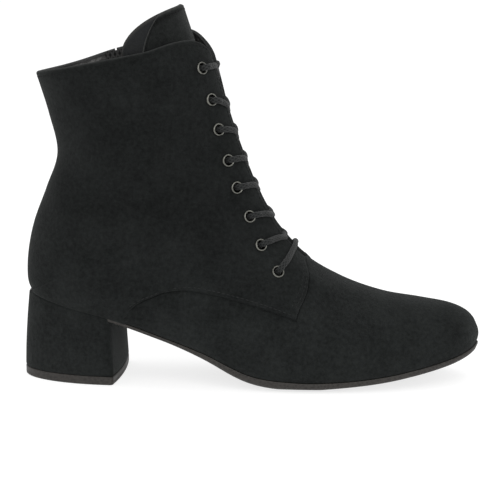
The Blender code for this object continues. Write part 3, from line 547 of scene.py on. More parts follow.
def between(tree, value, low, high, to_low=0.0, to_high=1.0):
    """value from low to high, moved to the range to_low to to_high."""
    values = {"Value": value, "From Min": low, "From Max": high, "To Min": to_low, "To Max": to_high}
    return node(tree, "MapRange", values).outputs["Result"]


# Sockets of a Mix node that blends colours
MIX_SHARE, MIX_FIRST, MIX_SECOND, MIX_RESULT = 0, 6, 7, 2


def blend_colours(tree, share, first, second):
    values = {MIX_SHARE: share, MIX_FIRST: first, MIX_SECOND: second}
    return node(tree, "Mix", values, data_type="RGBA").outputs[MIX_RESULT]


def attribute(tree, name):
    return node(tree, "Attribute", attribute_name=name).outputs["Fac"]


# %% Groups and dressed materials
FINISH = [("Colour", "Color"), ("Roughness", "Float"), ("Height", "Float")]
BLACK = (0.0, 0.0, 0.0, 1.0)


def group(name, *inputs):
    """A node group for a finish, with its own inputs after its two colours: tree, input node, output node."""
    tree = bpy.data.node_groups.new(name, "ShaderNodeTree")
    for label, kind, value in (("Dark", "Color", BLACK), ("Light", "Color", BLACK), *inputs):
        socket = tree.interface.new_socket(label, in_out="INPUT", socket_type="NodeSocket" + kind)
        socket.default_value = value
    for label, kind in FINISH:
        tree.interface.new_socket(label, in_out="OUTPUT", socket_type="NodeSocket" + kind)
    return tree, tree.nodes.new("NodeGroupInput"), tree.nodes.new("NodeGroupOutput")


def dark_to_light(tree, given, share):
    return blend_colours(tree, share, given.outputs["Dark"], given.outputs["Light"])


def put_out(tree, result, *values):
    """Links a group's colour, roughness and height to its output node."""
    for (label, _), value in zip(FINISH, values):
        tree.links.new(value, result.inputs[label])
    print("group", tree.name, len(tree.nodes), "nodes")


def material(name, **plain):
    """A material with its Principled shader's plain values set: the material, its tree and its shader."""
    made = bpy.data.materials.new(name)
    made.use_nodes = True
    shader = made.node_tree.nodes["Principled BSDF"]
    for key, value in plain.items():
        shader.inputs[key.replace("_", " ")].default_value = value
    return made, made.node_tree, shader


def dressed(name, effect, values, bump, **plain):
    """A material with a group's colour, roughness and bump, whose strength and height in metres are given."""
    made, tree, shader = material(name, **plain)
    source = tree.nodes.new("ShaderNodeGroup")
    source.name = effect
    source.node_tree = bpy.data.node_groups[effect]
    for key, value in values.items():
        source.inputs[key].default_value = value
    strength, distance = bump
    heights = {"Strength": strength, "Distance": distance, "Height": source.outputs["Height"]}
    tree.links.new(source.outputs["Colour"], shader.inputs["Base Color"])
    tree.links.new(source.outputs["Roughness"], shader.inputs["Roughness"])
    tree.links.new(node(tree, "Bump", heights).outputs["Normal"], shader.inputs["Normal"])
    return made


# %% Nap of the suede
# Sizes of the noise, in cells a metre
PATCH, MOTTLE, FIBRE = 48.0, 480.0, 2200.0
# Painted floor light: how much lighter the foot is painted at its lowest, and the heights between which that
# fades, in metres
PAINTED_FLOOR_LIGHT, PAINTED_FLOOR_LIGHT_LOW, PAINTED_FLOOR_LIGHT_HIGH = 1.38, 0.025, 0.095
tree, given, result = group("nap", ("Wear And Highlight", "Color", BLACK))
place = node(tree, "TexCoord").outputs["Object"]
patch = noise(tree, place, PATCH, 3.0, 0.55)
mottle = noise(tree, place, MOTTLE, 4.0, 0.65)
fibre = noise(tree, place, FIBRE, 3.0, 0.65)
share = between(tree, weighted(tree, (patch, 0.75), (mottle, 1.1), (fibre, 0.7)), 0.94, 1.62)
height = node(tree, "SeparateXYZ", {"Vector": place}).outputs["Z"]
# Painted light: the colour is made lighter low on the foot, for the light that the floor throws up
painted_floor_light = between(tree, height, PAINTED_FLOOR_LIGHT_LOW, PAINTED_FLOOR_LIGHT_HIGH, PAINTED_FLOOR_LIGHT, 1.0)
values = {0: dark_to_light(tree, given, share), "Scale": painted_floor_light}
colour = node(tree, "VectorMath", values, operation="SCALE").outputs[0]
# Lighter where the mark is above 0, for wear and as a painted highlight, and darker in a groove, where it is
# below, as painted shade
mark = attribute(tree, "edge")
wear_and_highlight_patches = between(tree, mottle, 0.3, 0.7, 0.5, 1.0)
wear_and_highlight = math_node(tree, "MULTIPLY", between(tree, mark, 0.0, 1.0), wear_and_highlight_patches)
colour = blend_colours(tree, wear_and_highlight, colour, given.outputs["Wear And Highlight"])
colour = blend_colours(tree, between(tree, mark, -1.0, 0.0, 0.25, 1.0), BLACK, colour)
rough = between(tree, share, 0.0, 1.0, 1.0, 0.86)
put_out(tree, result, colour, rough, weighted(tree, (mottle, 0.9), (fibre, 0.8)))

# %% Grain of smooth leather, rubber, thread and metal
tree, given, result = group("grain", ("Size", "Float", 900.0), ("Rough", "Float", 0.5))
place = node(tree, "TexCoord").outputs["Object"]
cells = node(tree, "TexVoronoi", {"Vector": place, "Scale": given.outputs["Size"]}).outputs["Distance"]
cloud = noise(tree, place, 140.0, 4.0, 0.6)
share = between(tree, math_node(tree, "ADD", cells, cloud), 0.5, 1.2)
rough = math_node(tree, "ADD", given.outputs["Rough"], between(tree, cloud, 0.3, 0.7, -0.1, 0.1))
put_out(tree, result, dark_to_light(tree, given, share), rough, math_node(tree, "SUBTRACT", 1.0, cells))

# %% Braid of cord and tape, along the piece's own UV map
tree, given, result = group("braid", ("Around", "Float", 6.0), ("Along", "Float", 1.0))
flat = node(tree, "SeparateXYZ", {"Vector": node(tree, "UVMap").outputs["UV"]})
turn = math_node(tree, "MULTIPLY", flat.outputs["X"], given.outputs["Around"])
run = math_node(tree, "MULTIPLY", flat.outputs["Y"], given.outputs["Along"])
strands = []
for sign in ("ADD", "SUBTRACT"):
    phase = math_node(tree, "MULTIPLY", math_node(tree, sign, run, turn), math.tau)
    strands.append(node(tree, "Math", {0: phase}, operation="SINE").outputs[0])
over = math_node(tree, "MAXIMUM", strands[0], strands[1])
fuzz = noise(tree, node(tree, "TexCoord").outputs["Object"], 1800.0, 3.0, 0.6)
fuzz = between(tree, fuzz, 0.25, 0.75, 0.6, 1.2)
share = math_node(tree, "MULTIPLY", between(tree, over, -0.4, 1.0), fuzz)
put_out(tree, result, dark_to_light(tree, given, share), between(tree, share, 0.0, 1.0, 0.95, 0.75), share)

# %% Suede, lace and tape
SUEDE_BUMP = (0.5, 0.0005)
SUEDE_SHINE = {
    "Specular_IOR_Level": 0.08, "Sheen_Weight": 0.04, "Sheen_Roughness": 0.5,
    "Sheen_Tint": (0.85, 0.9, 0.88, 1.0),
}
values = {
    "Dark": (0.0039, 0.0044, 0.0043, 1), "Light": (0.0121, 0.0135, 0.0132, 1),
    "Wear And Highlight": (0.026, 0.027, 0.0265, 1),
}
SUEDE = dressed("suede", "nap", values, SUEDE_BUMP, **SUEDE_SHINE)
values = {
    "Dark": (0.0055, 0.006, 0.0059, 1), "Light": (0.0165, 0.018, 0.0175, 1),
    "Wear And Highlight": (0.05, 0.051, 0.049, 1),
}
TONGUE_SUEDE = dressed("tongue_suede", "nap", values, SUEDE_BUMP, **SUEDE_SHINE)
# Around counts strands in a turn of the lace or a millimetre across the tape, and Along in a millimetre
values = {
    "Dark": (0.0065, 0.007, 0.007, 1), "Light": (0.0215, 0.023, 0.0227, 1),
    "Around": 6.0, "Along": 0.42,
}
LACE = dressed("lace", "braid", values, (0.6, 0.0004), Specular_IOR_Level=0.2, Sheen_Weight=0.1)
values = {"Dark": (0.006, 0.006, 0.006, 1), "Light": (0.042, 0.042, 0.041, 1), "Around": 0.35, "Along": 0.35}
TAPE = dressed("zip_tape", "braid", values, (0.5, 0.0003), Specular_IOR_Level=0.2)

# %% Lining and the tongue's wings
# Colours of the lining's pale cut edge, with a painted highlight, and of the suede turned black over the
# collar
CUT_EDGE_HIGHLIGHT, COLLAR_BLACK = (0.12, 0.12, 0.116, 1), (0.007, 0.0075, 0.0073, 1)
# Lighter colour of the wings' edges, for wear and as a painted highlight
WING_EDGE_WEAR_AND_HIGHLIGHT = (0.028, 0.028, 0.026, 1)
values = {"Dark": (0.008, 0.008, 0.008, 1), "Light": (0.020, 0.019, 0.018, 1)}
LINING = dressed("lining", "grain", values, (0.25, 0.0003), Specular_IOR_Level=0.4)
# Inside the collar runs the lining's pale cut edge, painted paler in places as a highlight, with the suede's
# turned black above it
tree = LINING.node_tree
near = attribute(tree, "collar")
cut_edge_highlight = math_node(tree, "MULTIPLY", between(tree, near, 0.64, 0.70), between(tree, near, 0.85, 0.79))
wear_and_highlight_patches = noise(tree, node(tree, "TexCoord").outputs["Object"], 420.0, 3.0, 0.6)
cut_edge_highlight = math_node(tree, "MULTIPLY", cut_edge_highlight, between(tree, wear_and_highlight_patches, 0.42, 0.62, 0.1, 1.0))
colour = blend_colours(tree, cut_edge_highlight, tree.nodes["grain"].outputs["Colour"], CUT_EDGE_HIGHLIGHT)
colour = blend_colours(tree, between(tree, near, 0.80, 0.86), colour, COLLAR_BLACK)
tree.links.new(colour, tree.nodes["Principled BSDF"].inputs["Base Color"])

values = {
    "Dark": (0.005, 0.0055, 0.006, 1), "Light": (0.0105, 0.0115, 0.012, 1),
    "Size": 1300.0, "Rough": 0.7,
}
WING = dressed("wing_leather", "grain", values, (0.2, 0.0002), Specular_IOR_Level=0.16)
# The wings' edges are painted lighter, for wear and as a painted highlight along the turned edge
tree = WING.node_tree
mark = between(tree, attribute(tree, "edge"), 0.0, 1.0)
colour = blend_colours(tree, mark, tree.nodes["grain"].outputs["Colour"], WING_EDGE_WEAR_AND_HIGHLIGHT)
tree.links.new(colour, tree.nodes["Principled BSDF"].inputs["Base Color"])

# %% Rubber, thread and metal
values = {"Dark": (0.013, 0.0115, 0.0103, 1), "Light": (0.032, 0.029, 0.026, 1), "Size": 700.0, "Rough": 0.6}
RUBBER = dressed("rubber", "grain", values, (0.12, 0.0002), Specular_IOR_Level=0.3)
THREAD = {"Size": 2600.0, "Rough": 0.85}
values = {"Dark": (0.007, 0.0075, 0.0074, 1), "Light": (0.021, 0.0225, 0.022, 1), **THREAD}
SEAM_THREAD = dressed("seam_thread", "grain", values, (0.3, 0.0001), Specular_IOR_Level=0.1)
values = {"Dark": (0.003, 0.0033, 0.0032, 1), "Light": (0.009, 0.0098, 0.0096, 1), **THREAD}
EDGE_THREAD = dressed("edge_thread", "grain", values, (0.3, 0.0001), Specular_IOR_Level=0.1)
values = {"Dark": (0.08, 0.08, 0.072, 1), "Light": (0.17, 0.17, 0.152, 1), "Size": 1500.0, "Rough": 0.3}
GUNMETAL = dressed("gunmetal", "grain", values, (0.05, 0.0001), Metallic=1.0)
values = {"Dark": (0.010, 0.010, 0.010, 1), "Light": (0.020, 0.020, 0.020, 1), "Size": 1500.0, "Rough": 0.35}
TEETH = dressed("zip_teeth", "grain", values, (0.05, 0.0001), Specular_IOR_Level=0.5)
print("materials", len(bpy.data.materials), "groups", len(bpy.data.node_groups))

# %% [markdown]
# ## Upper
# Vamp and quarters are cut from suede, lined, and pulled over the last. The quarters lie on the vamp with a
# raised edge. One fine grid on each side of the foot carries all of it: a close set of lines along the arch
# makes the raised edge, the wall thins to a round lip at collar, facings and zip, and the creases are soft
# troughs and ridges placed one by one. Sculpting the creases would be as good for one boot, but numbers in
# the boot's own millimetres stay in place when the grid changes.

# %% Creases
Crease = namedtuple("Crease", "x0 z0 x1 z1 width depth")
# From one end to the other as seen from the side; a depth below zero is a trough, above zero a ridge
OUTER_CREASES = [
    Crease(95, 105, 119, 76, 7.0, 0.75),
    Crease(116, 98, 128, 75, 5.0, -0.70),
    Crease(103, 150, 110, 113, 6.5, -0.60),
    Crease(66, 103, 80, 97, 9.0, -0.60),
    Crease(32, 112, 42, 104, 7.0, -0.55),
    Crease(28, 98, 50, 92, 7.0, 0.45),
    Crease(84, 84, 98, 66, 8.0, -0.40),
    Crease(60, 128, 84, 120, 10.0, 0.35),
    Crease(158, 47, 176, 30, 7.0, -0.35),
    Crease(170, 52, 188, 36, 8.0, 0.30),
]
INNER_CREASES = [
    Crease(96, 104, 118, 78, 7.0, 0.65),
    Crease(114, 98, 126, 76, 5.0, -0.65),
    Crease(88, 130, 104, 118, 8.0, -0.50),
    Crease(30, 112, 44, 104, 7.0, -0.50),
    Crease(160, 47, 176, 30, 7.0, -0.40),
    Crease(172, 52, 190, 36, 8.0, 0.35),
]


def crease_height(places, creases):
    """How far the creases move the skin out at these places."""
    flat = places[..., [0, 2]]
    height = np.zeros(flat.shape[:-1])
    for crease in creases:
        start, end = np.array((crease.x0, crease.z0), float), np.array((crease.x1, crease.z1), float)
        share = np.clip(((flat - start) @ (end - start)) / ((end - start) @ (end - start)), 0.0, 1.0)
        away = np.linalg.norm(flat - start - share[..., None] * (end - start), axis=-1)
        height += crease.depth * np.exp(-((away / crease.width) ** 2))
    return height


print("creases", len(OUTER_CREASES), "outside", len(INNER_CREASES), "inside")

# %% Grid lines of the upper
WALL, QUARTER_LIFT, LIP = 1.8, 0.9, 1.05
# The quarter's edge: lines and rows at its foot, the line over it with its share of the quarter's height, and
# the line at full height
STEP_ROW, STEP_T, STEP_OVER_T, STEP_SHARE, STEP_FULL_T = 0.02, 0.005, 0.002, 0.8, 0.009
SLIT_HALF, SLIT_TOP = 3.6, 0.5
TAIL_BOW, TAIL_END = 0.2, 0.12
LOW_LINES, HIGH_LINES = 22, 50
BEHIND_ZIP, AHEAD_OF_ZIP = 16, 34
# Below the zip its two edges go on as plain lines, at these shares of the way from the seam to the facing
PLAIN_BACK, PLAIN_FRONT = 0.24, 0.28
# Closing lines of an edge: how far they lie from it in t and in millimetres. At the slit they lie closer.
EDGE_LINES = [(0.016, 1.4), (0.009, 0.8), (0.0035, 0.3), (0.0, 0.0)]
SLIT_CLOSER = 0.6

# Close rows on both sides of the steps at throat and tail, and towards the collar's lip
UPPER_ROWS = np.array(
    spread(0.0, (1.0, 9), (4.0, 24), (THROAT_ROW - 0.06, 27), (THROAT_ROW - STEP_ROW, 1))
    + spread(THROAT_ROW + 0.005, (THROAT_ROW + 0.03, 1), (8.0, 12))
    + spread(8.0, (SEAM_TAIL_ROW - 0.06, 29), (SEAM_TAIL_ROW - STEP_ROW, 1))[1:]
    + spread(SEAM_TAIL_ROW + 0.005, (SEAM_TAIL_ROW + 0.025, 1), (ZIP_LOW_ROW, 24), (SEAT_END_ROW, 18))
    + spread(SEAT_END_ROW, (16.0, 9), (20.0, 40), (COLLAR_ROW - 0.08, 20))[1:]
    + [COLLAR_ROW - 0.045, COLLAR_ROW - 0.016, COLLAR_ROW]
)


# A line of the grid from toe to collar: its t in each row, how far it stands on the quarter, what runs along
# it, and its distance from that
Line = namedtuple("Line", "t on_quarter beside from_edge", defaults=(None, FAR))


def between_lines(start, end, count):
    """Plain lines of the quarter from start to end, both left out for a line of their own."""
    return [Line(start + (end - start) * share, 1.0) for share in np.linspace(0, 1, count)[1:-1]]


def upper_lines(side):
    """The lines of one side, from the feather edge to the facing."""
    seam, edge = seam_t(UPPER_ROWS, side), edge_t(UPPER_ROWS, side)
    first, last = seam + STEP_FULL_T, edge - EDGE_LINES[0][0]
    lines = [Line((seam - 3 * STEP_T) * share, 0.0) for share in np.linspace(0, 1, LOW_LINES)]
    lines += [Line(seam - STEP_T, 0.0, "groove"), Line(seam + STEP_OVER_T, STEP_SHARE), Line(first, 1.0)]
    if side == OUTER:
        lines += between_lines(first, last, HIGH_LINES)
    else:
        at_zip = smooth(ZIP_LOW_ROW - 3, ZIP_LOW_ROW, UPPER_ROWS)
        zip_rows = np.maximum(UPPER_ROWS, ZIP_LOW_ROW)
        half = SLIT_HALF - (SLIT_HALF - SLIT_TOP) * smooth(COLLAR_ROW - 0.5, COLLAR_ROW, UPPER_ROWS)
        plain = first + (last - first) * PLAIN_BACK
        back = plain + (zip_t(zip_rows, -half) - plain) * at_zip
        plain = first + (last - first) * PLAIN_FRONT
        front = plain + (zip_t(zip_rows, half) - plain) * at_zip
        near = [(step * SLIT_CLOSER, away) for step, away in EDGE_LINES]
        lines += between_lines(first, back - near[0][0], BEHIND_ZIP)
        lines += [Line(back - step, 1.0, "slit", away) for step, away in near]
        lines += [Line(front + step, 1.0, "slit", away) for step, away in near[::-1]]
        lines += between_lines(front + near[0][0], last, AHEAD_OF_ZIP)
    return lines + [Line(edge - step, 1.0, "facing", away) for step, away in EDGE_LINES]


def tail_row(row, share):
    """Rows near the arch's tail, moved to make it round. share runs from the feather edge to the arch."""
    low = np.clip(share, 0.0, 1.0)
    bow = TAIL_BOW * np.sin(math.pi * low**1.9) - TAIL_END * (1 - low) ** 6
    ahead = smooth(SEAM_TAIL_ROW - 0.7, SEAM_TAIL_ROW, row)
    behind = smooth(SEAM_TAIL_ROW, SEAM_TAIL_ROW + 0.9, row)
    return row + bow * ahead * (1 - behind)


print("upper", len(UPPER_ROWS), "rows")

# %% Upper mesh
# Depth of the groove at the quarter's edge, and how much painted shade darkens it
GROOVE, GROOVE_SHADE = 0.6, 0.2
# Share of a lip's fall on the lining's side, and how wide an edge is painted lighter, for wear and as a
# highlight
INSIDE_FALL, WEAR_AND_HIGHLIGHT_WIDTH = 0.8, 0.6
# Height of a row near the collar, and how far down the collar's mark reaches
COLLAR_ROW_HEIGHT, COLLAR_REACH = 20.0, 10.0
# The creases fade out towards the feather edge, below this t
CREASE_LOW_T = 0.12


def step_up(at):
    """For each row, its share of the quarter's height behind a step at this row."""
    rows = UPPER_ROWS[:, None]
    return np.where(rows > at + STEP_ROW, 1.0, np.where(rows > at, STEP_SHARE, 0.0))


def edges_and_grooves(lines):
    """For each place of the grid, its distance from an open edge and its share of the groove's depth."""
    from_edge = np.full((len(UPPER_ROWS), len(lines)), FAR)
    groove = np.zeros(from_edge.shape)
    for j, line in enumerate(lines):
        if line.beside == "groove":
            groove[(UPPER_ROWS > THROAT_ROW - 0.03) & (UPPER_ROWS < SEAM_TAIL_ROW), j] = 1.0
            groove[np.isclose(UPPER_ROWS, THROAT_ROW - STEP_ROW), j:] = 1.0
            tail = smooth(0.55, 0.95, np.linspace(0, 1, j))
            groove[np.isclose(UPPER_ROWS, SEAM_TAIL_ROW - STEP_ROW), :j] = tail
        elif line.beside == "facing":
            from_edge[UPPER_ROWS > THROAT_ROW, j] = line.from_edge
        elif line.beside == "slit":
            from_edge[UPPER_ROWS >= ZIP_LOW_ROW, j] = line.from_edge
    return from_edge, groove


def upper_side(bm, side, layers, creases):
    """One side of the upper as a grid on the skin: its rows of vertices and the number of the slit's line."""
    lines = upper_lines(side)
    rows = UPPER_ROWS[:, None]
    t = np.stack([line.t for line in lines], axis=1)
    on_quarter = np.array([line.on_quarter for line in lines])
    from_edge, groove = edges_and_grooves(lines)
    from_collar = (COLLAR_ROW - rows) * COLLAR_ROW_HEIGHT + 0 * t
    from_edge = np.minimum(from_edge, from_collar)
    fall = lip(from_edge, LIP)
    places = skin(tail_row(collar_row(rows, side, t), t / seam_t(rows, side)), side, t)
    lift = QUARTER_LIFT * np.maximum(on_quarter * step_up(THROAT_ROW), step_up(SEAM_TAIL_ROW))
    lift = lift - fall - GROOVE * groove
    lift = lift + crease_height(places, creases) * np.minimum(1.0, t / CREASE_LOW_T)
    values = {
        "lift": lift,
        "depth": WALL - fall * INSIDE_FALL,
        # Lighter at open edges, for wear and as a painted highlight, and painted shade in the groove
        "edge": np.exp(-((from_edge / WEAR_AND_HIGHLIGHT_WIDTH) ** 2)) - GROOVE_SHADE * groove,
        "collar": np.clip(1 - from_collar / COLLAR_REACH, 0.0, 1.0),
    }
    slit = [j for j, line in enumerate(lines) if line.beside == "slit" and line.from_edge == 0.0]
    verts = grid(bm, places, {layers[name]: value for name, value in values.items()})
    return verts, min(slit, default=None)


bm = bmesh.new()
layers = {name: bm.verts.layers.float.new(name) for name in ("lift", "depth", *MARKS)}
rim = bm.verts.layers.int.new("rim")
slit = []
for side, creases in ((OUTER, OUTER_CREASES), (INNER, INNER_CREASES)):
    verts, slit_line = upper_side(bm, side, layers, creases)
    for row, line, following in zip(UPPER_ROWS, verts, verts[1:] + [None]):
        line[0][rim] = int(row <= SEAT_END_ROW)
        if slit_line and following and row >= ZIP_LOW_ROW - 0.001:
            corners = set(line[slit_line : slit_line + 2] + following[slit_line : slit_line + 2])
            slit += [face for face in line[slit_line].link_faces if set(face.verts) == corners]
bmesh.ops.delete(bm, geom=slit, context="FACES")
bmesh.ops.remove_doubles(bm, verts=bm.verts, dist=0.0005)
face_out(bm, lambda place: Vector((0, place.y, 0)))
thicken(bm, layers["lift"], layers["depth"], rim)
upper = piece("upper_suede", bm, [SUEDE, LINING], ["upper"])

# %% [markdown]
# ## Eyelets
# Each eyelet is a turned ring: a rolled flange outside, a barrel through the leather and a flared back. spin
# turns one outline round the axis, as a lathe does. The holes could be drawn into the upper's grid, but one
# Boolean cuts them all and leaves the grid's lines alone.

# %% Eyelets
Eyelet = namedtuple("Eyelet", "row distance")
EYELETS = [
    Eyelet(21.15, 18.0),
    Eyelet(19.90, 17.9),
    Eyelet(18.37, 17.2),
    Eyelet(16.10, 16.9),
    Eyelet(13.42, 17.5),
    Eyelet(10.96, 18.0),
    Eyelet(9.36, 20.9),
    Eyelet(8.18, 24.9),
]
HOLE_RADIUS, HOLE_DEPTH = 2.75, 9.0
# Outline of the ring: radius and height over the quarter
RING = [
    (3.35, -2.85), (2.5, -2.55), (2.42, -1.5), (2.42, 0.1), (2.47, 0.45), (2.62, 0.72), (2.9, 0.85),
    (3.2, 0.74), (3.42, 0.42), (3.48, 0.1), (3.38, 0.02), (2.6, 0.02), (2.6, -2.3), (3.3, -2.7),
]


def frame_at(row, distance, height):
    """A frame on the skin: z outwards, x up along the lacing."""
    side, t = beside_ridge(row, distance)
    z_axis = Vector(skin_normal(row, side, t))
    y_axis = z_axis.cross(Vector(up_lacing(row, side, t))).normalized()
    return axes_at(Vector(skin(row, side, t)) + z_axis * height, y_axis.cross(z_axis), y_axis, z_axis)


bm = bmesh.new()
cutter = bmesh.new()
for side in (OUTER, INNER):
    for eyelet in EYELETS:
        at = frame_at(eyelet.row, side * eyelet.distance, QUARTER_LIFT)
        lathe(bm, [(radius, 0.0, height) for radius, height in RING], (0, 0, 1), 28)
        ring = [vert for vert in bm.verts if not vert.tag]
        bmesh.ops.transform(bm, matrix=at, verts=ring)
        for vert in ring:
            vert.tag = True
        bmesh.ops.create_cone(
            cutter, cap_ends=True, segments=24, matrix=at,
            radius1=HOLE_RADIUS, radius2=HOLE_RADIUS, depth=HOLE_DEPTH,
        )
bmesh.ops.remove_doubles(bm, verts=bm.verts, dist=0.005)
bmesh.ops.recalc_face_normals(bm, faces=bm.faces)
names = [f"eyelet_{label}_{number}" for label in ("outer", "inner") for number in range(1, 9)]
piece("eyelet_rings", bm, [GUNMETAL], names)

# %% Eyelet holes
for vert in cutter.verts:
    vert.co = Vector(placed(vert.co))
hole_mesh = bpy.data.meshes.new("eyelet_holes")
cutter.to_mesh(hole_mesh)
cutter.free()
holes = link(bpy.data.objects.new("eyelet_holes", hole_mesh))
cut = upper.modifiers.new("eyelet_holes", "BOOLEAN")
cut.solver = "EXACT"
cut.operation = "DIFFERENCE"
cut.object = holes
bpy.context.view_layer.update()
holed = bpy.data.meshes.new_from_object(upper.evaluated_get(bpy.context.evaluated_depsgraph_get()))
upper.modifiers.clear()
upper.data = holed
bpy.data.objects.remove(holes)
print("upper with holes", len(holed.polygons), "faces")

# %% [markdown]
# ## Tongue
# A suede panel runs up the middle, with a smooth leather wing sewn under each of its sides. A draped sheet
# would find its own place, but these edges have to show where they do on the boot. So both are grids on the
# same skin, a little deeper than the quarters: the tongue lies under the facings and leans back above the
# collar.

# %% Tongue
TONGUE_THICK, TONGUE_PANEL, TONGUE_CLEAR = 1.4, 0.7, 1.6
TONGUE_START, TONGUE_REACH, TONGUE_ROUND, TONGUE_PEAK = 6.35, 0.92, 2.1, 0.06
TONGUE_WING_LOW, TONGUE_WING_TOP = 0.76, 0.455
PANEL_LOW, PANEL_TOP, PANEL_TURN = 0.14, 0.45, 0.94
TONGUE_LEAN, TONGUE_DIP = 4.5, 3.0
TONGUE_LENGTH = 190.0
TONGUE_STEPS = np.array(spread(0.0, (0.7, 36), (0.95, 20), (0.983, 14), (0.995, 4), (1.0, 2)))
# Lines that round a side edge: share beyond it and distance from it; the share where even lines start; and
# the wings' share under the panel
ROUNDING = [(0.0, 0.0), (0.005, 0.25), (0.012, 0.6), (0.02, 1.0), (0.03, 1.5), (0.04, 2.0), (0.05, 2.5)]
ROUNDED, WING_UNDER = 0.065, 0.04
PANEL_LINES, WING_LINES = 28, 14
TONGUE_LIP = 0.8
# Lighter line along the edge, for wear and as a painted highlight, and the pressed line beside it, which is
# painted shade: its depth, its place and both widths
TONGUE_WEAR_AND_HIGHLIGHT_WIDTH, PRESSED_SHADE, PRESSED_SHADE_AT, PRESSED_SHADE_WIDE = 0.7, 0.9, 1.6, 0.5


def tongue_place(step, share):
    """Row, t and depth of the tongue's front. step runs from the throat to its top, share from its side to
    the ridge."""
    top = COLLAR_ROW + TONGUE_REACH * (1 - (1 - share) ** TONGUE_ROUND) ** (1 / TONGUE_ROUND)
    top = top + TONGUE_PEAK * share**5
    row = TONGUE_START + (top - TONGUE_START) * step
    climb = np.minimum(1.0, (row - TONGUE_START) / (COLLAR_ROW - TONGUE_START))
    edge = TONGUE_WING_LOW + (TONGUE_WING_TOP - TONGUE_WING_LOW) * climb
    lean = TONGUE_LEAN * share * smooth(COLLAR_ROW - 5, COLLAR_ROW + 1, row)
    dip = TONGUE_DIP * (1 - smooth(THROAT_ROW, THROAT_ROW + 2, row))
    return row, edge + (1 - edge) * share, WALL + TONGUE_CLEAR + TONGUE_PANEL + lean + dip


def panel_share(step):
    """Share where the panel's side edge lies. It runs beside the wing's edge and turns in near the top."""
    turn = np.clip((step - PANEL_TURN) / (1 - PANEL_TURN), 0.0, 1.0)
    return PANEL_LOW + (PANEL_TOP - PANEL_LOW) * turn**3.3


def tongue_sheet(strips, lift, depth):
    """A wall on the tongue's surface. Each strip gives its share of the tongue's half, for every step, and
    its distance from a cut edge."""
    bm = bmesh.new()
    layers = {name: bm.verts.layers.float.new(name) for name in ("lift", "depth", "edge")}
    steps = TONGUE_STEPS[:, None]
    row, t, down = tongue_place(steps, np.stack([share for share, _ in strips], axis=1))
    from_edge = np.minimum([away for _, away in strips], (1 - steps) * TONGUE_LENGTH)
    fall = lip(from_edge, TONGUE_LIP)
    # The pressed line only darkens the colour, as painted shade; the surface does not sink there
    pressed_shade = PRESSED_SHADE * np.exp(-(((from_edge - PRESSED_SHADE_AT) / PRESSED_SHADE_WIDE) ** 2))
    mark = np.exp(-((from_edge / TONGUE_WEAR_AND_HIGHLIGHT_WIDTH) ** 2)) - pressed_shade
    values = {"lift": lift - fall, "depth": depth - INSIDE_FALL * fall, "edge": mark}
    for side in (OUTER, INNER):
        grid(bm, lifted(row, side, t, -down), {layers[name]: value for name, value in values.items()})
    bmesh.ops.remove_doubles(bm, verts=bm.verts, dist=0.0005)
    face_out(bm, lambda place: Vector((1, 0, 0)))
    thicken(bm, layers["lift"], layers["depth"])
    return bm


def tongue_strips(start, end, count):
    """Strips from a rounded edge at start to end, with shares for every step."""
    strips = [(start + share, away) for share, away in ROUNDING]
    return strips + [(start + ROUNDED + (end - start - ROUNDED) * u, FAR) for u in np.linspace(0, 1, count)]


panel_edge = panel_share(TONGUE_STEPS)
side_edge, ridge = np.zeros_like(panel_edge), np.ones_like(panel_edge)
bm = tongue_sheet(tongue_strips(panel_edge, ridge, PANEL_LINES), TONGUE_PANEL, TONGUE_THICK)
piece("tongue_panel", bm, [TONGUE_SUEDE, LINING], ["tongue"])
bm = tongue_sheet(tongue_strips(side_edge, panel_edge + WING_UNDER, WING_LINES), 0.0, TONGUE_THICK - 0.1)
piece("tongue_wings", bm, [WING, LINING])

# %% [markdown]
# ## Lace
# One braided lace runs as a bar across the bottom pair of eyelets, then crosses from side to side up to the
# top pair. It goes into each eyelet from outside, comes out under the facing's edge and crosses over the
# tongue. A round tube would stand too proud, because a lace under pull lies flat, so the section is an oval
# whose wide axis follows the lacing. The UV map counts turns round the tube and millimetres along it, for the
# braid's pattern.

# %% Route of the lace
# Shares of the eyelet's and the facing's distance from the ridge, a shift, and heights over the skin of the
# strands that pass over and under at the crossing
Strand = namedtuple("Strand", "of_eyelet of_facing shift over under")
# Under the lower eyelet's facing, from its hole to the gap
STRAND_OUT = [
    Strand(1.0, 0.0, -3.2, -3.9, -3.9),
    Strand(0.5, 0.5, 0.0, -3.7, -3.7),
    Strand(0.0, 1.0, 0.6, -3.2, -3.4),
    Strand(0.0, 0.6, 0.0, -2.3, -3.5),
]
# From the middle over the higher eyelet's facing and into its hole
STRAND_IN = [
    Strand(0.0, -0.2, 0.0, -1.2, -3.3),
    Strand(0.0, 0.2, 0.0, -0.6, -2.7),
    Strand(0.0, 0.6, 0.0, -0.3, -1.2),
    Strand(0.0, 1.0, 0.0, 0.9, 0.7),
    Strand(0.35, 0.65, 0.0, 1.8, 1.75),
    Strand(0.7, 0.3, 0.0, 2.25, 2.25),
    Strand(1.0, 0.0, -3.4, 2.5, 2.5),
    Strand(1.0, 0.0, -1.9, 2.2, 2.2),
    Strand(1.0, 0.0, -0.8, 0.9, 0.9),
    Strand(1.0, 0.0, -0.3, -1.0, -1.0),
    Strand(1.0, 0.0, -0.9, -3.0, -3.0),
]
BAR = [
    Strand(0.0, 0.0, 0.01, 1.5, 1.5),
    Strand(0.0, 1.0, 0.0, 2.1, 2.1),
] + STRAND_IN[4:]
# How many rows lower a strand crosses the facing's edge than its eyelet lies
LACE_DROPS = [0.05, 0.6, 0.68, 0.75, 0.85, 0.95, 0.9]
LACE_BAR_DROP = 0.4


def strand_distance(point, eyelet):
    return point.of_eyelet * eyelet.distance + point.of_facing * float(facing_gap(eyelet.row)) + point.shift


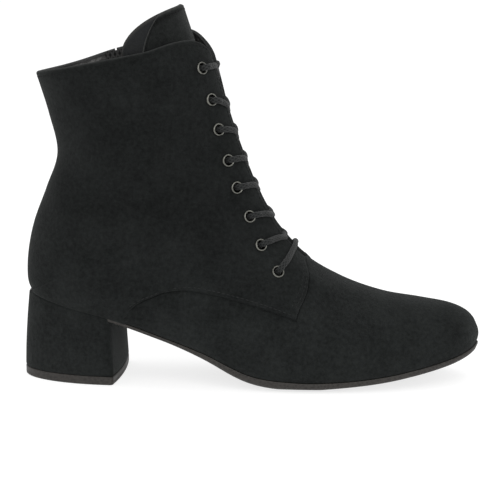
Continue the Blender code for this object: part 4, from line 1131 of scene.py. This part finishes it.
def lace_point(row, distance, height):
    """A point of the lace and the direction of its wide axis there, up along the lacing."""
    side, t = beside_ridge(row, distance)
    up = up_lacing(row, side, t)
    return np.concatenate([lifted(row, side, t, height), up / np.linalg.norm(up)])


def crossing(low, high, drop, side):
    """Points from under the lower eyelet on the other side, over the tongue and into the higher one here."""
    stops = (-low.distance, float(facing_gap(high.row)), high.distance)
    rows = (low.row, high.row - drop, high.row)
    points = []
    for strands, eyelet, sign in ((STRAND_OUT, low, -1), (STRAND_IN, high, 1)):
        for point in strands:
            distance = sign * strand_distance(point, eyelet)
            height = point.over if side == OUTER else point.under
            points.append(lace_point(np.interp(distance, stops, rows), side * distance, height))
    return points


def half_lace(side):
    """From the middle of the bar into the bottom eyelet on this side and up to the top."""
    points = []
    for point in BAR:
        distance = strand_distance(point, EYELETS[-1])
        drop = LACE_BAR_DROP * max(0.0, 1 - (distance / EYELETS[-1].distance) ** 2)
        points.append(lace_point(EYELETS[-1].row - drop, side * distance, point.over))
    for low, high, drop in zip(EYELETS[::-1], EYELETS[-2::-1], LACE_DROPS[::-1]):
        side = -side
        points += crossing(low, high, drop, side)
    return points


# %% Curves and tubes
def run_length(places, power=1.0):
    """Distance run along a line of places, at each of them, with each step raised to a power."""
    steps = np.linalg.norm(np.diff(places, axis=0), axis=1)
    return np.concatenate([[0], np.cumsum(steps**power)])


def through(points, step):
    """A smooth curve through the points, read at even steps, and its length. Other columns go along."""
    points = np.array(points)
    ends = [2 * points[0] - points[1]], [2 * points[-1] - points[-2]]
    ring = np.concatenate([ends[0], points, ends[1]])
    knots = run_length(ring[:, :3], 0.5)
    fine = []
    for k in range(1, len(ring) - 2):
        t0, t1, t2, t3 = knots[k - 1 : k + 3]
        t = np.linspace(t1, t2, 16, endpoint=False)[:, None]
        p0, p1, p2, p3 = ring[k - 1 : k + 3]
        a1 = (t1 - t) / (t1 - t0) * p0 + (t - t0) / (t1 - t0) * p1
        a2 = (t2 - t) / (t2 - t1) * p1 + (t - t1) / (t2 - t1) * p2
        a3 = (t3 - t) / (t3 - t2) * p2 + (t - t2) / (t3 - t2) * p3
        b1 = (t2 - t) / (t2 - t0) * a1 + (t - t0) / (t2 - t0) * a2
        b2 = (t3 - t) / (t3 - t1) * a2 + (t - t1) / (t3 - t1) * a3
        fine.append((t2 - t) / (t2 - t1) * b1 + (t - t1) / (t2 - t1) * b2)
    fine = np.concatenate(fine + [points[-1:]])
    run = run_length(fine[:, :3])
    even = np.linspace(0, run[-1], int(run[-1] / step) + 1)
    return np.stack([np.interp(even, run, column) for column in fine.T], axis=1), run[-1]


def tube(bm, path, wide, thin, sides):
    """An oval tube along a path, with a UV map of turns round it and millimetres along it. Columns past the
    third give the direction of its wide axis."""
    rings = []
    places = path[:, :3]
    axis = Vector(places[1] - places[0]).orthogonal()
    turns = np.linspace(0, math.tau, sides + 1)
    for k, place in enumerate(places):
        ahead = Vector(places[min(k + 1, len(path) - 1)] - places[max(k - 1, 0)]).normalized()
        if path.shape[1] > 3:
            axis = Vector(path[k, 3:])
        axis = (axis - ahead * axis.dot(ahead)).normalized()
        other = ahead.cross(axis)
        oval = [axis * (math.cos(turn) * wide) + other * (math.sin(turn) * thin) for turn in turns]
        rings.append([place + np.array(point) for point in oval])
    verts = grid(bm, np.array(rings))
    run = run_length(places)
    map_uv(bm, {vert: (j / sides, run[i]) for i, line in enumerate(verts) for j, vert in enumerate(line)})
    close(bm, 0.0005)


# %% Lace
LACE_WIDE, LACE_THIN = 1.65, 1.15
LACE_STEP, LACE_SIDES = 0.7, 12
lace_path, lace_length = through(half_lace(OUTER)[::-1] + half_lace(INNER)[1:], LACE_STEP)
bm = bmesh.new()
tube(bm, lace_path, LACE_WIDE, LACE_THIN, LACE_SIDES)
names = [f"lace_crossing_{number}" for number in range(1, 8)] + ["lace_bar"]
piece("lace_run", bm, [LACE], names, sharp=80)
print("lace", round(lace_length), "mm")

# %% [markdown]
# ## Sole, heel and insole
# The sole is a thin cemented unit with a rounded edge. A bevelled slab could stand for it, but rings across
# the foot, skinned from toe to breast, let its edge, thickness and tread change along the way. The heel is a
# block covered in the same suede, with a rubber lift under it. Sole, insole and the heel's top follow the
# feather edge, the line where the upper turns under.

# %% Feather edge
SEAT_GAP, HEEL_GAP = 0.3, 0.5
BREAST_TOP_X, BREAST_LOW_X, BREAST_BOW = 52.6, 53.6, 1.6
BREAST_ROW = float(
    solve(lambda row: BREAST_TOP_X + SEAT_GAP - section_at(row).back_x, THROAT_ROW + 1, SEAT_END_ROW)
)
FEATHER_ROWS = np.array(
    spread(0.03, (1.0, 16), (7.0, 110), (BREAST_ROW, 96), (12.0, 8), (SEAT_END_ROW - 0.02, 40))
)
FEATHER = section_at(FEATHER_ROWS)
print("breast at row", round(BREAST_ROW, 3))


def feather_z(x):
    """Height of the feather edge, the upper's lower rim, at x."""
    return np.interp(x, FEATHER.back_x[::-1], FEATHER.back_z[::-1])


def feather_line(side, inset):
    """Plan points of the feather edge on one side, moved in by inset."""
    line = np.stack([FEATHER.back_x, FEATHER.middle + side * widths(FEATHER, side)[1]], axis=1)
    run = np.gradient(line, axis=0)
    run /= np.linalg.norm(run, axis=1)[:, None]
    return line + np.stack([-run[:, 1], run[:, 0]], axis=1) * inset * side


# %% Outsole
SOLE_FOREFOOT, SOLE_WAIST, SOLE_TOE = 6.0, 3.2, 4.8
SOLE_WAIST_END, SOLE_FOREFOOT_START, SOLE_FOREFOOT_END, SOLE_TOE_START = 80.0, 122.0, 140.0, 185.0
SoleLine = namedtuple("SoleLine", "inset level")
SOLE_LINES = [
    SoleLine(1.5, 1.0),
    SoleLine(-0.4, 1.0),
    SoleLine(-0.66, 0.93),
    SoleLine(-0.7, 0.8),
    SoleLine(-0.5, 0.6),
    SoleLine(-0.1, 0.44),
    SoleLine(1.2, 0.30),
    SoleLine(3.6, 0.15),
    SoleLine(6.2, 0.04),
    SoleLine(9.0, 0.0),
]
TREAD_LINES = 12
TREAD_DEPTH, TREAD_PITCH = 0.7, 6.0
TREAD_START, TREAD_END, TREAD_FADE = 136.0, 226.0, 4.0
TREAD_SLANT, TREAD_MIDDLE = 0.35, 4.0


def sole_z(x, level):
    """Height in the sole: level 1 under the upper, 0 on the underside, flat on the floor at the ball."""
    top = feather_z(x) - SEAT_GAP
    thick = SOLE_WAIST + (SOLE_FOREFOOT - SOLE_WAIST) * smooth(SOLE_WAIST_END, SOLE_FOREFOOT_START, x)
    thick = thick + (SOLE_TOE - SOLE_FOREFOOT) * smooth(SOLE_FOREFOOT_END, SOLE_TOE_START, x)
    low = np.maximum(0.0, top - thick)
    return low + (top - low) * level


def tread(x, y):
    """Depth of the fine grooves that cross the forefoot in shallow chevrons."""
    wave = 0.5 + 0.5 * np.cos(math.tau * (x - TREAD_SLANT * np.abs(y - TREAD_MIDDLE)) / TREAD_PITCH)
    started = smooth(TREAD_START, TREAD_START + TREAD_FADE, x)
    ended = smooth(TREAD_END - TREAD_FADE, TREAD_END, x)
    return TREAD_DEPTH * smooth(0.62, 0.9, wave) * started * (1 - ended)


def sole_ring(count):
    """The sole's section lines from the outer top edge, under the foot, to the inner top edge."""
    lines = {}
    for side in (OUTER, INNER):
        lines[side] = []
        for line in SOLE_LINES:
            plan = feather_line(side, line.inset)[:count]
            lines[side].append(np.column_stack([plan, sole_z(plan[:, 0], line.level)]))
    bottom = []
    for share in np.linspace(0, 1, TREAD_LINES + 1)[1:-1]:
        line = lines[OUTER][-1] * (1 - share) + lines[INNER][-1] * share
        line[:, 2] = sole_z(line[:, 0], 0.0) + tread(line[:, 0], line[:, 1])
        bottom.append(line)
    return np.stack(lines[OUTER] + bottom + lines[INNER][::-1], axis=1)


# One row past the breast, so that no gap shows at the heel's corners
sole_rows = int(np.argmin(np.abs(FEATHER_ROWS - BREAST_ROW))) + 2
bm = bmesh.new()
loft(bm, sole_ring(sole_rows))
piece("outsole_unit", bm, [RUBBER], ["outsole"], sharp=50)

# %% Insole
INSOLE_INSET, INSOLE_TOP, INSOLE_THICK, INSOLE_DISH = 2.5, 2.0, 1.6, 0.9
INSOLE_LINES = 14
# The feather edge's rows from just behind the toe to just ahead of the heel's back
INSOLE_ROWS = slice(6, -4)
outer_line, inner_line = feather_line(OUTER, INSOLE_INSET), feather_line(INNER, INSOLE_INSET)
lines = []
for share in np.linspace(0, 1, INSOLE_LINES):
    plan = (outer_line * (1 - share) + inner_line * share)[INSOLE_ROWS]
    dish = INSOLE_DISH * (2 * share - 1) ** 4
    lines.append(np.column_stack([plan, feather_z(plan[:, 0]) + INSOLE_TOP + dish]))
bm = bmesh.new()
grid(bm, np.stack(lines, axis=1))
sheet(bm, lambda place: Vector((0, 0, 1)), INSOLE_THICK)
piece("insole_sock", bm, [LINING], ["insole"])

# %% Heel and top lift
HEEL_LOW_HALF, LIFT_HEIGHT = 26.8, 4.6
# The breast's corners grow rounder upwards and close up under the seat, above the last level
HEEL_CORNER_LOW, HEEL_CORNER_HIGH, HEEL_CORNER_CLOSED, HEEL_CORNER_LEVEL = 1.8, 9.5, 0.88, 0.88
HEEL_BACK_X, HEEL_TOP_X, HEEL_BACK_POWER = -0.05, 3.1, 1.6
# Rounded rims: how far they draw in, and the share of the height that they take
HEEL_LOW_RIM, HEEL_TOP_RIM, HEEL_RIM = 0.35, 0.5, 0.02
HEEL_LEVELS = spread(0.0, (HEEL_RIM, 1), (0.9, 20), (1 - HEEL_RIM, 4), (1.0, 1))
# Section of the lift, with a fine groove round it: height and inset
LIFT_RINGS = [(0.0, 0.5), (0.45, 0.05), (1.9, 0.0), (2.1, 0.12), (2.3, 0.0), (4.3, 0.0), (LIFT_HEIGHT, 0.3)]


def heel_ring(level, inset):
    """The heel's D outline at a level, 0 on the lift and 1 under the seat, from the breast round the back to
    the breast."""
    back = HEEL_BACK_X + (HEEL_TOP_X - HEEL_BACK_X) * level**HEEL_BACK_POWER + inset
    breast = BREAST_LOW_X + (BREAST_TOP_X - BREAST_LOW_X) * level - inset
    seat_half = float(widths(section_at(BREAST_ROW), OUTER)[1]) + QUARTER_LIFT
    half = HEEL_LOW_HALF + (seat_half - HEEL_LOW_HALF) * level - inset
    closing = 1 - HEEL_CORNER_CLOSED * smooth(HEEL_CORNER_LEVEL, 1.0, level)
    corner = HEEL_CORNER_LOW + (HEEL_CORNER_HIGH - HEEL_CORNER_LOW) * level * closing
    span = (1.0 + 0.4 * corner) / (breast - back)
    share = np.concatenate([
        1 - np.cos(np.linspace(0, 1.25, 22)), spread(0.72, (0.99 - span, 6)),
        1 - span + span * np.sin(np.linspace(0, math.pi / 2, 10)),
    ])
    front = np.clip((share - 1 + span) / span, 0.0, 1.0)
    wide = half * np.sqrt(1 - (1 - share) ** 2) - corner * (1 - np.sqrt(1 - front**2))
    x = back + (breast - back) * share
    across_breast = np.linspace(1, -1, 13)[1:-1]
    bowed = breast + BREAST_BOW * (1 - level) * (1 - across_breast**2)
    return np.concatenate([
        np.stack([x, -wide], axis=1)[::-1], np.stack([x, wide], axis=1)[1:],
        np.stack([bowed, across_breast * wide[-1]], axis=1),
    ])


rings = []
for level in HEEL_LEVELS:
    low_rim, top_rim = max(0.0, 1 - level / HEEL_RIM), max(0.0, 1 - (1 - level) / HEEL_RIM)
    plan = heel_ring(level, HEEL_LOW_RIM * low_rim + HEEL_TOP_RIM * top_rim)
    low = LIFT_HEIGHT + SEAT_GAP
    rings.append(np.column_stack([plan, low + (feather_z(plan[:, 0]) - HEEL_GAP - low) * level]))
bm = bmesh.new()
loft(bm, rings)
piece("heel_cover", bm, [SUEDE], ["heel"], sharp=38)

rings = []
for z, inset in LIFT_RINGS:
    plan = heel_ring(0.0, inset)
    rings.append(np.column_stack([plan, np.full(len(plan), z)]))
bm = bmesh.new()
loft(bm, rings)
piece("heel_lift", bm, [RUBBER], ["top_lift"], sharp=38)

# %% [markdown]
# ## Zip
# The zip closes the inner side. Its tape lies behind the slit, two rows of teeth mesh along the middle, and
# the slider rests at the top with its pull hanging down. The teeth could be an array along a curve, but each
# is set by a frame on the skin, so they lean with the shaft. The pull is the one piece that moves on its own,
# so it rides on its own body.

# %% Zip tape and teeth
ZIP_CLEAR, ZIP_TAPE_HALF, ZIP_TAPE_THICK = 0.75, 7.0, 0.9
ZIP_TAPE_ROWS, ZIP_TAPE_STEP = 92, 1.2
TOOTH_PITCH, TOOTH_LENGTH, TOOTH_WIDE, TOOTH_HIGH = 1.5, 3.0, 0.85, 1.3
TOOTH_ASIDE, TOOTH_SUNK, TOOTH_BEVEL = 0.75, 0.75, 0.22
ZIP_SLIDER_Z = 163.0


def zip_frame(z, height):
    """A frame on the zip's line at that height: x level along the boot, y up the zip, z outwards."""
    row = float(np.interp(z, ZIP_HEIGHTS, ZIP_ROWS))
    t = zip_t(row, 0.0)
    z_axis = Vector(skin_normal(row, INNER, t))
    x_axis = Vector((-z_axis.y, z_axis.x, 0.0)).normalized()
    place = Vector(skin(row, INNER, t)) + z_axis * height
    return axes_at(place, x_axis, z_axis.cross(x_axis), z_axis)


rows = np.array(spread(ZIP_LOW_ROW - 0.6, (COLLAR_ROW + 0.15, ZIP_TAPE_ROWS)))
shifts = np.linspace(-ZIP_TAPE_HALF, ZIP_TAPE_HALF, 15)
behind = np.full_like(rows, -WALL - ZIP_CLEAR)
bm = bmesh.new()
verts = grid(bm, np.stack([lifted(rows, INNER, zip_t(rows, shift), behind) for shift in shifts], axis=1))
spot = {vert: (shifts[j], i * ZIP_TAPE_STEP) for i, line in enumerate(verts) for j, vert in enumerate(line)}
map_uv(bm, spot)
sheet(bm, lambda place: Vector((0, 1, 0)), ZIP_TAPE_THICK)
piece("zip_tape_woven", bm, [TAPE], ["zip_tape"])

tooth = bmesh.new()
bmesh.ops.create_cube(tooth, size=1.0, matrix=Matrix.Diagonal((TOOTH_LENGTH, TOOTH_WIDE, TOOTH_HIGH, 1.0)))
bmesh.ops.bevel(
    tooth, geom=tooth.edges, offset=TOOTH_BEVEL, segments=1, profile=0.5, affect="EDGES", material=-1
)
frames = []
for z in np.arange(ZIP_LOW_Z + TOOTH_PITCH, ZIP_SLIDER_Z, TOOTH_PITCH / 2):
    aside = TOOTH_ASIDE if len(frames) % 2 else -TOOTH_ASIDE
    frames.append(zip_frame(float(z), -TOOTH_SUNK) @ Matrix.Translation((aside, 0.0, 0.0)))
piece("zip_chain", copies(tooth, frames), [TEETH])
print("teeth", len(frames))

# %% Zip slider
# The pull's joint in the part
HINGE = (-75.583, 34.853, 162.48)
SLIDER_LENGTH, SLIDER_HALF, SLIDER_THICK, SLIDER_CLEAR = 11.0, 4.4, 2.0, 0.35
STAPLE_HEIGHT, STAPLE_RADIUS, STAPLE_HALF, STAPLE_ROUND = 2.6, 0.8, 2.6, 0.9
# One side of the slider from below, in shares of its half width and half length
SLIDER_SIDE = [(0.55, -1.0), (0.75, -0.6), (1.0, 0.1), (1.0, 0.6), (0.8, 1.0)]
low = QUARTER_LIFT + SLIDER_CLEAR
high = low + SLIDER_THICK
outline = [(x * SLIDER_HALF, y * SLIDER_LENGTH / 2) for x, y in SLIDER_SIDE]
outline += [(-x, y) for x, y in outline[::-1]]
levels = [(low, 0.9), (low + 0.35, 1.0), (high - 0.6, 1.0), (high - 0.15, 0.93), (high, 0.82)]
bm = bmesh.new()
loft(bm, [[(x * shrink, y * shrink, z) for x, y in outline] for z, shrink in levels])
bar = high + STAPLE_HEIGHT
hinge = Vector(HINGE) + Vector(SHIFT)
slider_at = zip_frame(ZIP_SLIDER_Z, 0.0)
slider_at.translation += hinge - slider_at @ Vector((0.0, 0.0, bar))
legs = [(STAPLE_HALF, high - 0.8), (STAPLE_HALF, bar - STAPLE_ROUND), (STAPLE_HALF - STAPLE_ROUND, bar)]
path, _ = through([(x, 0.0, z) for x, z in legs] + [(-x, 0.0, z) for x, z in legs[::-1]], 0.5)
tube(bm, path, STAPLE_RADIUS, STAPLE_RADIUS, 10)
bmesh.ops.transform(bm, matrix=slider_at, verts=bm.verts)
piece("zip_slider_body", bm, [GUNMETAL], ["zip_slider"])

# %% Zip pull
PULL_LENGTH, PULL_HALF, PULL_NECK, PULL_THICK = 22.0, 2.6, 5.0, 1.2
EYE_HALF, EYE_OUTER, EYE_BORE = 1.5, 2.1, 1.2
PULL_ROUND = 0.2
x_axis, up = slider_at.to_3x3().col[0].normalized(), Vector((0, 0, 1))
plumb = axes_at(hinge, x_axis, up.cross(x_axis), up)
rim = EYE_OUTER - PULL_ROUND
eye = [(EYE_HALF, EYE_BORE), (EYE_HALF, rim), (EYE_HALF - PULL_ROUND, EYE_OUTER)]
bm = bmesh.new()
lathe(bm, [(-x, y, 0.0) for x, y in eye] + [(x, y, 0.0) for x, y in eye[::-1]], (1, 0, 0), 24)
top = -(EYE_BORE + EYE_OUTER) / 2
tab = [
    (EYE_HALF, top), (1.7, top - 2.0), (PULL_HALF, top - PULL_NECK), (PULL_HALF, 3.0 - PULL_LENGTH),
    (2.2, 1.5 - PULL_LENGTH), (1.3, 0.5 - PULL_LENGTH), (0.5, -PULL_LENGTH),
]
outline = tab + [(-x, z) for x, z in tab[::-1]]
front = PULL_THICK / 2
levels = [(-front, 0.88), (PULL_ROUND - front, 1.0), (front - PULL_ROUND, 1.0), (front, 0.88)]
loft(bm, [[(x * shrink, y, z) for x, z in outline] for y, shrink in levels])
bmesh.ops.transform(bm, matrix=plumb, verts=bm.verts)
piece("zip_pull_tab", bm, [GUNMETAL], ["zip_pull"], body="zip_pull")

# %% [markdown]
# ## Stitches
# Every seam is sewn in black thread. A bump line could suggest it, but real stitches catch the light one by
# one, so each is a small flattened ellipsoid on the skin, and a row of them follows a line given by section
# row and t.

# %% Sewing
STITCH_LENGTH, STITCH_WIDE, STITCH_HIGH, STITCH_PITCH = 1.9, 0.55, 0.4, 2.6
seam_stitches, edge_stitches = [], []


def sew(places, normals, frames):
    """Adds a row of stitches along a line of places with the surface's normals there."""
    run = run_length(places)
    lines = np.concatenate([places, np.gradient(places, run, axis=0), normals], axis=1).T
    for spot in np.arange(STITCH_PITCH, run[-1] - STITCH_PITCH / 2, STITCH_PITCH):
        values = [np.interp(spot, run, line) for line in lines]
        at, way, up = Vector(values[:3]), Vector(values[3:6]), Vector(values[6:]).normalized()
        way = (way - up * way.dot(up)).normalized()
        frames.append(axes_at(at, way, up.cross(way), up))


def sew_on_skin(row, side, t, frames=edge_stitches):
    """A row of stitches on the quarters."""
    row = collar_row(row, side, t)
    sew(lifted(row, side, t, np.full(np.shape(t), QUARTER_LIFT)), skin_normal(row, side, t), frames)


# %% Rows of stitches
# Places beside an edge: in t at the arch, in rows at tail, throat and collar, in millimetres at facing and
# zip, and as a share at the tongue's panel
BESIDE_ARCH, BESIDE_TAIL, BESIDE_THROAT, BESIDE_COLLAR = 0.011, 0.06, (0.09, 0.22), 0.13
BESIDE_FACING, BESIDE_ZIP, BESIDE_ZIP_TOP, BESIDE_PANEL = 2.4, 2.0, 1.5, 0.032
PANEL_STITCH_LOW, PANEL_STITCH_TOP = 0.55, 0.991
CLEAR_T = 0.03
for side in (OUTER, INNER):
    rows = np.linspace(THROAT_ROW + 0.07, SEAM_TAIL_ROW - 0.1, 160)
    sew_on_skin(rows, side, seam_t(rows, side) + BESIDE_ARCH, seam_stitches)
    row = np.full(60, SEAM_TAIL_ROW)
    share = np.linspace(0.6, 1.0, 60)
    sew_on_skin(tail_row(row, share) + BESIDE_TAIL, side, seam_t(row, side) * share, seam_stitches)
    for row in np.add(THROAT_ROW, BESIDE_THROAT):
        t = np.linspace(float(seam_t(row, side)) + CLEAR_T, float(edge_t(row, side)) - CLEAR_T, 80)
        sew_on_skin(np.full_like(t, row), side, t, seam_stitches)
    rows = np.linspace(THROAT_ROW + 0.5, COLLAR_ROW - 0.45, 200)
    sew_on_skin(rows, side, front_t(rows, side, facing_gap(rows) + BESIDE_FACING))
    collar = np.full(160, COLLAR_ROW - BESIDE_COLLAR)
    start, end = 0.0, float(edge_t(collar[0], side)) - CLEAR_T
    if side == INNER:
        back = float(zip_t(collar[0], -SLIT_HALF - BESIDE_ZIP_TOP))
        sew_on_skin(collar, side, np.linspace(start, back, 160))
        start = float(zip_t(collar[0], SLIT_HALF + BESIDE_ZIP_TOP))
    sew_on_skin(collar, side, np.linspace(start, end, 160))
rows = np.linspace(ZIP_LOW_ROW + 0.05, COLLAR_ROW - 0.2, 160)
for shift in (-SLIT_HALF - BESIDE_ZIP, SLIT_HALF + BESIDE_ZIP):
    sew_on_skin(rows, INNER, zip_t(rows, shift))
up_side = np.linspace(PANEL_STITCH_LOW, PANEL_STITCH_TOP, 160)
over_top = np.linspace(float(panel_share(PANEL_STITCH_TOP)) + BESIDE_PANEL, 1.0, 81)[1:]
step = np.concatenate([up_side, np.full(80, PANEL_STITCH_TOP)])
row, t, down = tongue_place(step, np.concatenate([panel_share(up_side) + BESIDE_PANEL, over_top]))
for side in (OUTER, INNER):
    sew(lifted(row, side, t, TONGUE_PANEL - down), skin_normal(row, side, t), edge_stitches)
size = Matrix.Diagonal((STITCH_LENGTH / 2, STITCH_WIDE / 2, STITCH_HIGH / 2, 1.0))
lying = size @ Matrix.Rotation(math.pi / 2, 4, "Y")
for name, frames, thread in (("seam", seam_stitches, SEAM_THREAD), ("edge", edge_stitches, EDGE_THREAD)):
    stitch = bmesh.new()
    bmesh.ops.create_uvsphere(stitch, u_segments=6, v_segments=5, radius=1.0, matrix=lying)
    piece(name + "_stitches", copies(stitch, frames), [thread])
    print(name, "stitches", len(frames))

# %% [markdown]
# ## Floor and light
# The boot stands on a plain pale floor under a white sky. A picture of a studio could light it, but a sky of
# a few ranges is quick to change. Two wide soft lamps, one in front and one above, lift the top surfaces a
# little and keep the shadow under the sole faint.

# %% Floor and light
FLOOR_GLOW, FLOOR_HALF, FLOOR_DROP = 0.75, 60.0, 0.0002
bm = bmesh.new()
bmesh.ops.create_grid(bm, x_segments=1, y_segments=1, size=FLOOR_HALF)
bmesh.ops.translate(bm, vec=(0.0, 0.0, -FLOOR_DROP), verts=bm.verts)
mesh = bpy.data.meshes.new("floor")
bm.to_mesh(mesh)
bm.free()
floor = link(bpy.data.objects.new("floor", mesh))
WHITE = (1.0, 1.0, 1.0, 1.0)
paint, tree, shader = material(
    "floor_white", Base_Color=(0.4, 0.4, 0.4, 1.0), Roughness=0.9, Specular_IOR_Level=0.0,
    Emission_Color=WHITE, Emission_Strength=FLOOR_GLOW,
)
mesh.materials.append(paint)
floor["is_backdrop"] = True
print("floor", 2 * FLOOR_HALF, "m wide")

# %% Sky and lamps
world = bpy.data.worlds.new("studio")
world.use_nodes = True
tree = world.node_tree
toward = node(tree, "SeparateXYZ", {"Vector": node(tree, "TexCoord").outputs["Generated"]})
# Dimmer overhead and to the right, and brighter towards both ends
high = between(tree, toward.outputs["Z"], 0.0, 0.8, 0.9, 0.7)
left = between(tree, toward.outputs["X"], -1.0, 1.0, 1.03, 0.87)
aside = node(tree, "Math", {0: toward.outputs["X"]}, operation="ABSOLUTE").outputs[0]
ends = between(tree, aside, 0.3, 1.0, 1.0, 1.4)
strength = math_node(tree, "MULTIPLY", math_node(tree, "MULTIPLY", high, left), ends)
tree.links.new(strength, tree.nodes["Background"].inputs["Strength"])
tree.nodes["Background"].inputs["Color"].default_value = WHITE
bpy.context.scene.world = world
bpy.context.scene.view_settings.view_transform = "Standard"

# Place, size and power of the lamps, which look at the boot's middle
LIGHTS = [("key", (0.3, -1.1, 0.9), 1.2, 7.0), ("top", (0.1, 0.3, 1.4), 1.4, 5.0)]
LIGHT_AIM = Vector((0.0, 0.0, 0.08))
for name, at, size, power in LIGHTS:
    lamp = bpy.data.lights.new(name, "AREA")
    lamp.shape = "DISK"
    lamp.size = size
    lamp.energy = power
    light = link(bpy.data.objects.new(name, lamp))
    light.location = at
    light.rotation_euler = (LIGHT_AIM - light.location).to_track_quat("-Z", "Y").to_euler()
print("lights", len(LIGHTS))

# %% Sizes and finish
low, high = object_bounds()
print("visual", [round(b - a, 4) for a, b in zip(low, high)])
